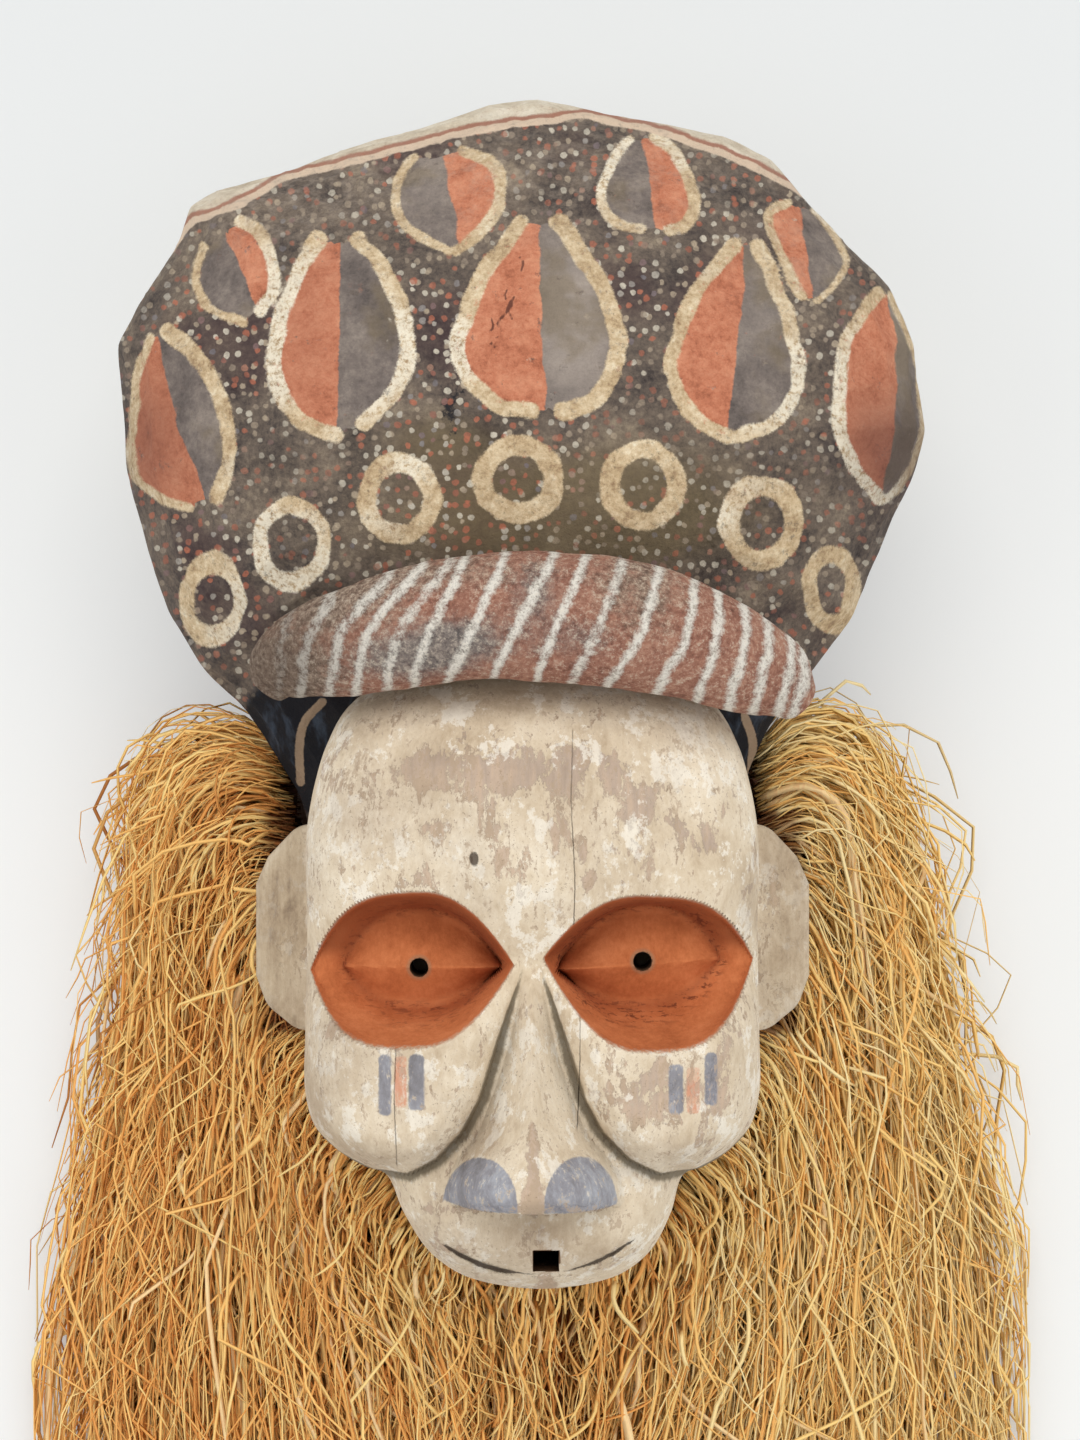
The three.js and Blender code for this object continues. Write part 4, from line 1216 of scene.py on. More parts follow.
raffia = {
    "guides": [
        [(-96, 213, 92), (-126, 217, 82), (-153, 213, 58), (-170, 190, 40), (-171, 130, 29),
         (-183, 62, 22), (-200, -20, 17), (-203, -110, 12), (-196, -222, 6)],
        [(-99, 196, 96), (-124, 200, 104), (-142, 182, 92), (-151, 140, 76), (-153, 90, 66),
         (-158, 30, 56), (-165, -50, 44), (-163, -140, 30), (-158, -238, 8)],
        [(-93, 140, 92), (-112, 136, 92), (-122, 115, 88), (-128, 84, 82), (-130, 48, 74), (-130, 0, 66),
         (-128, -70, 52), (-124, -150, 34), (-118, -246, 8)],
        [(-82, 94, 90), (-101, 82, 96), (-106, 66, 94), (-107, 42, 88), (-105, 12, 80), (-101, -30, 70),
         (-95, -90, 54), (-88, -160, 36), (-80, -250, 8)],
        [(-62, 60, 92), (-83, 38, 99), (-85, 24, 96), (-83, 4, 90), (-78, -24, 80), (-72, -60, 68),
         (-63, -110, 52), (-54, -170, 34), (-46, -246, 8)],
        [(-44, 16, 100), (-50, 4, 102), (-51, -9, 98), (-49, -26, 91), (-45, -50, 81), (-40, -80, 68),
         (-33, -125, 52), (-26, -180, 33), (-20, -254, 8)],
        [(3, -3, 102), (3, -14, 103), (3, -26, 99), (3, -42, 91), (3, -64, 80), (3, -92, 68),
         (3, -135, 51), (3, -190, 32), (3, -248, 8)],
        [(50, 18, 100), (56, 6, 102), (57, -8, 98), (55, -26, 91), (51, -50, 81), (46, -80, 68),
         (38, -125, 52), (31, -180, 33), (25, -256, 8)],
        [(66, 60, 92), (87, 40, 99), (90, 26, 96), (88, 4, 90), (83, -24, 80), (77, -60, 68),
         (68, -110, 52), (58, -170, 34), (50, -248, 8)],
        [(82, 94, 90), (101, 84, 96), (107, 68, 94), (109, 44, 88), (108, 12, 80), (105, -30, 70),
         (99, -90, 54), (92, -160, 36), (84, -250, 8)],
        [(93, 140, 92), (110, 138, 92), (120, 118, 88), (127, 88, 82), (130, 50, 74), (131, 0, 66),
         (130, -70, 52), (127, -150, 34), (121, -242, 8)],
        [(91, 190, 92), (112, 198, 102), (132, 184, 92), (143, 146, 76), (150, 92, 66), (157, 30, 56),
         (165, -50, 44), (165, -140, 30), (160, -236, 8)],
        [(90, 211, 88), (112, 220, 82), (138, 210, 57), (154, 178, 40), (163, 128, 29), (180, 66, 22),
         (195, -12, 17), (200, -100, 12), (196, -220, 6)],
    ],
    # each hank: its node, its first and last guide, its strands and how much paler it is; the chin and the
    # right-hand hanks are painted paler, as painted light
    "hanks": [
        ("raffia_temple_left", 0, 2, 1850, 0.0), ("raffia_cheek_left", 2, 4.6, 1650, 0.0),
        ("raffia_chin", 4.6, 7.4, 1650, 0.08), ("raffia_cheek_right", 7.4, 10, 1650, 0.2),
        ("raffia_temple_right", 10, 12, 1750, 0.23),
    ],
    # the strands of a hank: their share, the steps along each and how these gather at its head, where the
    # strands start and how far they run down the hank, how they slant and curl, and how they lie and end
    "kinds": [
        {"share": 0.2, "steps": 20, "gather": 1.35, "start": (0, 0.05), "reach": (0.86, 1.02),
         "slope": 0.03, "curl": 0, "lie": 1.0, "dip": 0, "tip": 0},
        {"share": 0.45, "steps": 10, "gather": 1, "start": (-0.1, 0.68), "reach": (0.18, 0.42),
         "slope": 0.28, "curl": 0.003, "lie": 0.85, "dip": 1, "tip": 4},
        {"share": 0.35, "steps": 8, "gather": 1, "start": (0.03, 0.9), "reach": (0.07, 0.2),
         "slope": 0.8, "curl": 0.014, "lie": 0.5, "dip": 0.5, "tip": 6},
    ],
    "seed": 7,
    "guideSteps": 80, "length": 420,  # millimetres of a guide, roughly
    "pastEnd": 380,  # how fast a strand runs on past the end of its guide
    "ends": (0.95, 1.03),  # shares of a guide between which the longest strands end
    "locks": 24, "lockPower": 0.8,  # strands in a lock, and how the locks thin out towards the outside
    "neat": 0.66, "neatStray": 0.09, "looseStray": 0.36,  # the share that keeps to its lock, and the straying
    "overlap": 0.3,  # how far strands reach into the next hank, in guides
    "limit": (-216, 214),  # no strand strays past these sides
    "free": (40, 45),  # a strand swerves fully only this far along itself and along its hank
    "turnLimit": 24, "curly": 0.3, "curlier": 1.8,  # the widest turn, and the share that curls more
    # rows of the noise, far enough apart that each strand, kind and hank has its own
    "strandRow": 17.0, "kindRow": 1000, "hankRow": 300.0, "rowShift": 31,
    # swerves and rises along a strand: height, size and seed
    "lockSwerve": ((7, 95, 51), (3.2, 40, 52)), "ownSwerve": (3.4, 62, 41),
    "kinks": ((3, 28, 3, 42), (2, 13, 2.3, 43)),  # height, least size, steps in one and seed
    "wild": 0.965, "wildSwerve": (11, 110, 44), "wildRise": (6, 90, 47),  # the few above this share
    "lockRise": (5, 70, 53), "ownRise": ((2.4, 40, 45), (1.5, 16, 46)),
    # how high a strand lies in its hank: the shares of its own draw and its lock's, and the least height
    "level": (0.64, 0.36), "least": 0.25, "rootLeast": 0.72, "rootShare": 3.2,
    # the ends dip into the hank, except the tips of the loose strands, which rise
    "held": 0.6, "dipFade": 7, "dipDeep": 0.3, "tipFrom": 0.78, "tipSpan": 0.22,
    "jawDip": 0.45, "jawDipTop": 60, "jawDipFade": 20,  # strands lie lower beside the jaw
    "lowest": 1.4, "floor": 0.4,  # over the floor: a strand's middle line and its corners
    "width": (0.8, 2.5), "thin": 0.4,
    "bladeShare": 0.02, "bladeWidth": (1.5, 1.2),  # a few broad blades: times the width, and more
    "twist": (1.2, 1.6), "tint": (0.88, 0.66, 0.34), "tintMost": 0.92,
    # beside the wood and the ears: how wide the shadow is, how dark, and how clear the strands stay
    "earY": 138, "earHalf": 46, "earX": 110, "shadow": 11, "shadowDeep": 0.75, "clear": 3,
}
# the dense middle of a hank
hankMiddle = {
    "columns": 20, "rows": (0.02, 0.93, 34), "inset": 0.06, "outer": 0.7,
    "height": 0.6, "fall": 0.35,  # shares of the guides' height, and how it falls towards the tips
    "side": (0.12, 4), "lumps": ((1.6, (5, 40, 5), 61),),
    "lowest": 2, "floor": 0.8, "underShare": 0.6, "headShare": 0.35,
    # the mat is given the strands' darkest painted shade
    "marks": {"tint": 0.3, "depth": -0.6, "along": 0.5},
}

guidePlaces = np.linspace(0, 1, raffia["guideSteps"] + 1)
guideGrid = np.stack([smoothCurve(g, guidePlaces) for g in raffia["guides"]])
lastGuide = len(guideGrid) - 1


def guidePoint(t, s):
    t = np.clip(t, 0, lastGuide - 0.001)
    over = np.clip(s, 0, 1.06)
    s = np.clip(s, 0, 0.9999) * raffia["guideSteps"]
    i, j = t.astype(int), s.astype(int)
    a, b = (t - i)[..., None], (s - j)[..., None]
    low = guideGrid[i, j] * (1 - b) + guideGrid[i, j + 1] * b
    high = guideGrid[i + 1, j] * (1 - b) + guideGrid[i + 1, j + 1] * b
    point = low * (1 - a) + high * a
    point[..., 1] -= np.maximum(over - 1, 0) * raffia["pastEnd"]
    return point


def strandTemplate(steps):
    # one strand: a three-sided bar, cut into steps along its length
    deselect()
    bpy.ops.mesh.primitive_cylinder_add(vertices=3, radius=1, depth=1, end_fill_type="NGON")
    bar = bpy.context.object
    bpy.ops.object.mode_set(mode="EDIT")
    bpy.ops.mesh.select_mode(type="EDGE")
    bpy.ops.mesh.select_all(action="DESELECT")
    bpy.ops.object.mode_set(mode="OBJECT")
    for edge in bar.data.edges:
        a, b = (bar.data.vertices[k].co.z for k in edge.vertices)
        edge.select = abs(a - b) > 0.5
    bpy.ops.object.mode_set(mode="EDIT")
    bpy.ops.mesh.subdivide(number_cuts=steps - 1)
    bpy.ops.object.mode_set(mode="OBJECT")
    co = meshPlaces(bar)
    row = np.round((co[:, 2] + 0.5) * steps).astype(int)
    corner = np.arctan2(co[:, 0], co[:, 1])
    faces = [list(p.vertices) for p in bar.data.polygons]
    bpy.data.objects.remove(bar)
    return row, corner, faces


def sway(walked, index, layers):
    # smooth waves along each strand: layers of height, size and seed
    rows = np.stack([walked + index * raffia["rowShift"], index, index * 0], axis=2)
    return sum(height * grainNoise(rows, (size, 1, 1), seed) for height, size, seed in layers)


def strandStarts(kind, lockAt, low, high, count, rng):
    # where each strand begins and ends along the guides, its lock and how far it strays from it
    begin = rng.uniform(*kind["start"], count).clip(0)
    end = np.minimum(begin + rng.uniform(*kind["reach"], count), rng.uniform(*raffia["ends"], count))
    steps = np.arange(kind["steps"] + 1) / kind["steps"]
    s = begin[:, None] + (end - begin)[:, None] * steps[None] ** kind["gather"]
    mine = rng.integers(0, len(lockAt), count)
    loose = rng.uniform(size=count)
    stray = np.where(loose < raffia["neat"], raffia["neatStray"], raffia["looseStray"])
    t = (lockAt[mine] + rng.normal(0, 1, count) * stray)[:, None] * np.ones(len(steps))
    lap = raffia["overlap"]
    return s, np.clip(t, max(low - lap, 0.03), min(high + lap, lastGuide - 0.03)), mine, loose, steps


def strandPaths(kind, lockAt, low, high, count, rng):
    # each strand follows the guides with its lock, swerves across its neighbours and kinks
    s, t, mine, loose, steps = strandStarts(kind, lockAt, low, high, count, rng)
    p = guidePoint(t, s)
    along = np.gradient(p, axis=1)
    length = np.cumsum(np.linalg.norm(along, axis=2), axis=1)
    walked = s * raffia["length"]
    flat = np.maximum(np.hypot(along[..., 0], along[..., 1]), 1e-6)
    side = np.stack([-along[..., 1], along[..., 0]], axis=2) / flat[..., None]
    own = np.arange(count)[:, None] * raffia["strandRow"] * np.ones(len(steps))
    own = own + kind["steps"] * raffia["kindRow"]
    lock = (mine[:, None] + raffia["hankRow"] * round(low * 5)) * np.ones(len(steps))
    free = np.minimum(length / raffia["free"][0], 1) * np.minimum(walked / raffia["free"][1], 1)

    # across the hank
    mid = length - length.mean(axis=1, keepdims=True)
    curl = np.where(loose < raffia["curly"], raffia["curlier"], 1.0)
    slope = (rng.normal(0, 1, count) * curl * kind["slope"])[:, None]
    arc = (rng.normal(0, 1, count) * curl * kind["curl"])[:, None]
    swerve = np.clip(slope * mid + arc * mid ** 2 / 2, -raffia["turnLimit"], raffia["turnLimit"])
    # no wave is shorter than a few steps
    pace = raffia["length"] * sum(kind["reach"]) / 2 / kind["steps"]
    kinks = [(height, max(size, waves * pace), seed) for height, size, waves, seed in raffia["kinks"]]
    swerve = swerve + sway(walked, lock, raffia["lockSwerve"])
    swerve = swerve + sway(length, own, [raffia["ownSwerve"], *kinks])
    wild = (rng.uniform(size=count) > raffia["wild"])[:, None]
    swerve = (swerve + np.where(wild, sway(length, own, [raffia["wildSwerve"]]), 0)) * free
    p[..., :2] += side * swerve[..., None]

    # up and down
    lockLevel = rng.uniform(0, 1, len(lockAt))[mine]
    ownShare, lockShare = raffia["level"]
    layer = ((ownShare * rng.uniform(0, 1, count) + lockShare * lockLevel) ** kind["lie"])[:, None]
    rootLift = np.clip(1 - s * raffia["rootShare"], 0, 1)
    least, rootLeast = raffia["least"], raffia["rootLeast"]
    atRoot = rootLeast + (1 - rootLeast) * layer
    shareUp = (least + (1 - least) * layer) * (1 - rootLift) + rootLift * atRoot
    held = loose[:, None] < raffia["held"]
    ends = np.minimum(steps, np.where(held, 1 - steps, 1))
    dip = kind["dip"] * np.clip(1 - ends * raffia["dipFade"], 0, 1)
    rise = sway(walked, lock, [raffia["lockRise"]]) + sway(length, own, raffia["ownRise"])
    risen = np.clip((steps - raffia["tipFrom"]) / raffia["tipSpan"], 0, 1) ** 2
    rise = rise + kind["tip"] * risen * (loose[:, None] > raffia["held"])
    rise = rise + np.where(wild, raffia["wildRise"][0] + sway(length, own, [raffia["wildRise"]]), 0)
    p[..., 2] = p[..., 2] * shareUp * (1 - raffia["dipDeep"] * dip) + rise * free
    p[..., 2] = np.maximum(p[..., 2], raffia["lowest"])
    p, tucked = clearOfFace(p)
    beside = tucked * ease((raffia["jawDipTop"] - p[..., 1]) / raffia["jawDipFade"])
    p[..., 2] = np.maximum(p[..., 2] * (1 - raffia["jawDip"] * beside), raffia["lowest"])
    p[..., 0] = np.clip(p[..., 0], *raffia["limit"])
    shade = 0.5 + 0.5 * sway(walked[:, :1], lock[:, :1], ((1, 60, 54),))[:, 0]
    return p, s, layer - raffia["shadowDeep"] * tucked, shade


def clearOfFace(p):
    # strands pass outside the wooden walls: whatever lies inside them is moved out; also tells how
    # deep in the shadow beside the wood each point is, 0 to 1
    dx, dy, reach = fromCentre(p[..., 0], p[..., 1])
    tuck = face["cheekTuck"] * cheekBand(p[..., 1]) * np.clip((face["sideEdge"] - p[..., 2]) / 20, 0, 1)
    wall = reach - tuck
    away = np.hypot(dx, dy)
    clear = raffia["clear"]
    push = np.where(p[..., 2] > face["rim"] - 2, np.maximum(wall - clear - away, 0), 0)
    p[..., 0] += dx / away * push
    p[..., 1] += dy / away * push
    atEar = np.abs(p[..., 1] - raffia["earY"]) < raffia["earHalf"]
    besideEar = np.where(atEar, np.abs(p[..., 0]) - raffia["earX"], 99)
    gap = np.minimum(away + push - wall, besideEar)
    return p, np.clip(1 - (gap + clear) / raffia["shadow"], 0, 1)


def hankMat(name, low, high):
    # the dense middle of a hank, under its strands, coloured as the painted shade between them
    rows = []
    count, inset, outer = hankMiddle["columns"], hankMiddle["inset"], hankMiddle["outer"]
    columns = np.linspace(max(low + inset, outer), min(high - inset, lastGuide - outer), count)
    side = np.ones(count)
    if low == 0:
        side = ease(np.linspace(*hankMiddle["side"], count))
    if high == lastGuide:
        side = ease(np.linspace(*hankMiddle["side"][::-1], count))
    for s in np.linspace(*hankMiddle["rows"]):
        edge = guidePoint(columns, np.full(count, s))
        crest = edge[:, 2] * hankMiddle["height"] * side * (1 - hankMiddle["fall"] * s)
        crest = np.maximum(crest + grains(edge, hankMiddle["lumps"]), hankMiddle["lowest"])
        over = np.column_stack([edge[:, 0], edge[:, 1], crest])
        # its head hangs clear of the floor
        lift = hankMiddle["underShare"] * ease(1 - s / hankMiddle["headShare"])
        under = over[::-1] * [1, 1, lift]
        under[:, 2] = np.maximum(under[:, 2], hankMiddle["floor"])
        rows.append(np.vstack([over, under]))
    return wrapGrid(name, [[rows[0].mean(axis=0)], *rows, [rows[-1].mean(axis=0)]])


def triangleCount(piece):
    return sum(len(p.vertices) - 2 for p in piece.data.polygons)


def strandBars(kind, template, lockAt, low, high, count, tone, rng):
    # the corners of one kind of strand, and what each corner tells the finish
    row, corner, _ = template
    p, s, level, lockShade = strandPaths(kind, lockAt, low, high, count, rng)
    along = np.gradient(p, axis=1)
    along /= np.maximum(np.linalg.norm(along, axis=2, keepdims=True), 1e-9)
    flat = np.cross(along, np.array([0.0, 0, 1.0]))
    flat /= np.maximum(np.linalg.norm(flat, axis=2, keepdims=True), 1e-6)
    up = np.cross(flat, along)
    least, most = raffia["width"]
    width = rng.uniform(0, 1, count) ** 2 * (most - least) + least
    blade = rng.uniform(size=count) < raffia["bladeShare"]
    wider, more = raffia["bladeWidth"]
    width = np.where(blade, width * wider + more, width)
    start, spin = raffia["twist"]
    twist = rng.uniform(-start, start, count)[:, None] + rng.normal(0, spin, count)[:, None] * s
    place = np.linspace(0, 1, kind["steps"] + 1)
    taper = np.minimum(1, (1.06 - place) * 7) * np.minimum(1, place * 9 + 0.5)
    half = width[:, None] * taper[None] / 2
    ct, st = np.cos(twist)[..., None], np.sin(twist)[..., None]
    wide, thin = flat * ct + up * st, up * ct - flat * st
    points = []
    for r, c in zip(row, corner):
        across = math.cos(c) * wide[:, r] + raffia["thin"] * math.sin(c) * thin[:, r]
        points.append(p[:, r] + half[:, r, None] * across)
    table = np.stack(points, axis=1)
    table[..., 2] = np.maximum(table[..., 2], raffia["floor"])
    whole, ownShare, lockShare = raffia["tint"]
    # tone: painted light that makes the chin and the right-hand hanks paler
    tint = whole * (ownShare * rng.uniform(0, 1, count) + lockShare * lockShade) + tone
    tint = np.where(blade, 1.0, np.minimum(tint, raffia["tintMost"]))
    return table.reshape(-1, 3), np.repeat(tint, len(row)), level[:, row].ravel(), s[:, row].ravel()


def meshFrom(name, corners, loops, sizes):
    mesh = bpy.data.meshes.new(name)
    mesh.vertices.add(len(corners))
    mesh.loops.add(len(loops))
    mesh.polygons.add(len(sizes))
    mesh.vertices.foreach_set("co", toFrame(corners).ravel())
    mesh.loops.foreach_set("vertex_index", loops)
    mesh.polygons.foreach_set("loop_start", np.concatenate([[0], np.cumsum(sizes)[:-1]]))
    mesh.update(calc_edges=True)
    mesh.validate()
    piece = bpy.data.objects.new(name, mesh)
    bpy.context.scene.collection.objects.link(piece)
    return piece


def layHank(node, low, high, count, tone, rng, templates):
    spread = rng.uniform(0, 1, max(count // raffia["locks"], 4))
    if low == 0:
        spread = spread ** raffia["lockPower"]
    if high == lastGuide:
        spread = 1 - (1 - spread) ** raffia["lockPower"]
    lockAt = low + (high - low) * spread
    told, loops, sizes = [], [], []
    first = 0
    for kind, template in zip(raffia["kinds"], templates):
        many = round(count * kind["share"])
        told.append(strandBars(kind, template, lockAt, low, high, many, tone, rng))
        size, faces = len(template[0]), template[2]
        begins = first + np.arange(many) * size
        loops.append((np.concatenate(faces)[None] + begins[:, None]).ravel())
        sizes.append(np.tile([len(f) for f in faces], many))
        first += many * size
    corners, *shares = (np.concatenate(part) for part in zip(*told))
    strands = meshFrom(node + "_strands", corners, np.concatenate(loops), np.concatenate(sizes))
    giveAttributes(strands, dict(zip(("tint", "depth", "along"), shares)))
    return strands


templates = [strandTemplate(kind["steps"]) for kind in raffia["kinds"]]
rng = np.random.default_rng(raffia["seed"])
hankPieces = []
for node, low, high, count, tone in raffia["hanks"]:
    strands = layHank(node, low, high, count, tone, rng, templates)
    mat = hankMat(node + "_mat", low, high)
    size = len(mat.data.vertices)
    giveAttributes(mat, {name: np.full(size, value) for name, value in hankMiddle["marks"].items()})
    choose(strands)
    mat.select_set(True)
    bpy.ops.object.join()
    strands.name = strands.data.name = node.replace("raffia", "strands")
    hankPieces.append((strands, node))
counts = [triangleCount(o) for o in (carvedFace, clothCap, brow, *(piece for piece, _ in hankPieces))]
print("stage: raffia laid, triangles", counts, sum(counts))

# finishes


def paintedWood():
    f = Finish("paintedWood")
    streaks = f.noise(420, 4, 0.6, f.stretched(1, 0.06, 0.4))
    broad = f.noise(26, 4, 0.6)
    fine = f.noise(520, 4, 0.75, f.stretched(1, 0.45, 1))
    small = f.noise(190, 6, 0.75, f.stretched(1, 0.5, 1), 0.3)
    chips = f.noise(55, 8, 0.72, f.stretched(1, 0.6, 1), 0.4)
    worn, stain = f.painted("worn"), f.painted("stain")
    clay = f.ramp(small * 0.5 + broad * 0.5, [
        (0.34, (190, 170, 144)), (0.45, (214, 197, 172)), (0.55, (228, 214, 192)),
        (0.68, (240, 231, 214))])
    bare = f.ramp(streaks * 0.5 + broad * 0.5, [
        (0.3, (152, 134, 122)), (0.45, (180, 160, 146)), (0.58, (196, 171, 150)),
        (0.75, (208, 186, 162))])
    lost = (chips * 0.45 + small * 0.3 + fine * 0.15 + streaks * 0.1 + worn * 0.085).step(0.55, 0.58)
    color = clay.blend(bare, lost * 0.85)
    thin = (small * 0.75 + fine * 0.25 + worn * 0.04 + stain * 0.04).step(0.555, 0.6)
    color = color.blend((182, 160, 136), thin * 0.7)
    flecks = (f.noise(80, 8, 0.74, f.stretched(1, 0.75, 1)) - worn * 0.05).step(0.53, 0.57)
    color = color.blend((246, 241, 230), flecks * 0.62)
    veil = (f.noise(22, 4, 0.6) * 0.7 + fine * 0.3 + stain * 0.25).step(0.42, 0.8)
    color = color.blend((160, 140, 120), veil * 0.6)
    specks = f.noise(900, 3, 0.7).step(0.6, 0.67) * broad.step(0.38, 0.56)
    color = color.blend((120, 98, 78), specks * 0.5)
    ear = f.ramp(streaks * 0.25 + small * 0.45 + broad * 0.3, [
        (0.36, (118, 100, 84)), (0.46, (166, 146, 122)), (0.55, (190, 172, 146)),
        (0.64, (214, 200, 178))])
    color = color.blend(ear, f.painted("ear") * 0.8)
    edge = fine * 5 - 2.5
    flake = 1 - (fine * 0.5 + small * 0.5 + worn * 0.02).step(0.53, 0.6) * 0.75
    blue = f.ramp(small * 0.5 + broad * 0.5, [
        (0.36, (110, 108, 112)), (0.5, (141, 141, 150)), (0.64, (176, 181, 192))])
    color = color.blend(blue, (f.painted("blue") + edge).step(-0.6, 1.8) * flake * 0.95)
    redFlake = 1 - (small * 0.7 + fine * 0.3).step(0.44, 0.58) * 0.75
    color = color.blend((210, 148, 120), (f.painted("red") + edge).step(-0.6, 1.8) * redFlake * 0.9)
    socketMask = (f.painted("socket") * 1.5 + edge * 0.8).step(-0.8, 1.5)
    orange = f.ramp(f.noise(60, 5, 0.6) * 0.6 + fine * 0.4, [
        (0.32, (166, 90, 50)), (0.5, (194, 113, 68)), (0.68, (214, 133, 86))])
    gouges = (f.noise(330, 4, 0.7, f.stretched(0.5, 1.5, 1), 0.6) * 0.7 + fine * 0.3).step(0.51, 0.58)
    # painted shade on the upper wall of each socket
    orange = orange.blend((128, 66, 38), f.painted("lid") * (0.35 + fine * 0.5))
    # painted shade along the crease, then dark scratches in it and in the gouged walls
    orange = orange.blend((124, 58, 34), f.painted("crease") * (fine * 1.3).min(1.0) * 0.6)
    orange = orange.blend((96, 44, 28), (f.painted("crease") * 0.7).max(f.painted("gouged")) * gouges * 0.8)
    pupilRim = 1 - f.painted("pupil").step(0.4, 2.0)
    orange = orange.blend((146, 128, 104), pupilRim * (fine * 1.4).min(1.0) * 0.7)
    color = color.blend(orange, socketMask)
    # painted shade with some dirt: darker in the grooves beside the lobes, along the lips' parting and under
    # the nose
    grime = (f.painted("grime") * 1.1 + fine * 0.7 - 0.35).step(0.25, 0.8)
    color = color.blend((98, 88, 70), grime * 0.8)
    wobble = f.noise(500, 3) * 1.6 - 0.8
    crack = 0.0
    for name in ("crackLeft", "crackRight"):
        away = (f.painted(name) + wobble).math("ABSOLUTE")
        crack = (1 - away.step(0.0, 0.75)) * f.painted(name + "Shown") * (1 - socketMask) + crack
    crack = crack * (broad * 2.6 - 0.7).min(0.8) + 1 - (f.painted("nail") + wobble).step(-0.5, 0.8)
    parted = f.painted("slitShown")
    ragged = (f.painted("slit") + small * 2.4 - 1.2).math("ABSOLUTE") + fine * 1.4 - 0.6 - parted * 1.25
    slit = (1 - ragged.step(-0.45, 0.2)) * parted.step(0.05, 0.35)
    crack = (crack + slit).min(1.0).max(0.0)
    color = color.blend((58, 44, 36), crack * 0.85)
    inner = 1 - f.painted("outside").step(0.2, 0.8)
    color = color.blend(f.ramp(streaks, [(0.3, (78, 56, 40)), (0.7, (124, 92, 66))]), inner)
    height = (1 - lost) * (1 - socketMask) * 0.2 + small * 0.3 + fine * 0.3 - crack * 1.2
    normal = f.bump(height, 0.0008, 0.95)
    return f.end(color, 0.82 + fine * 0.12, normal, {"Specular IOR Level": 0.25})


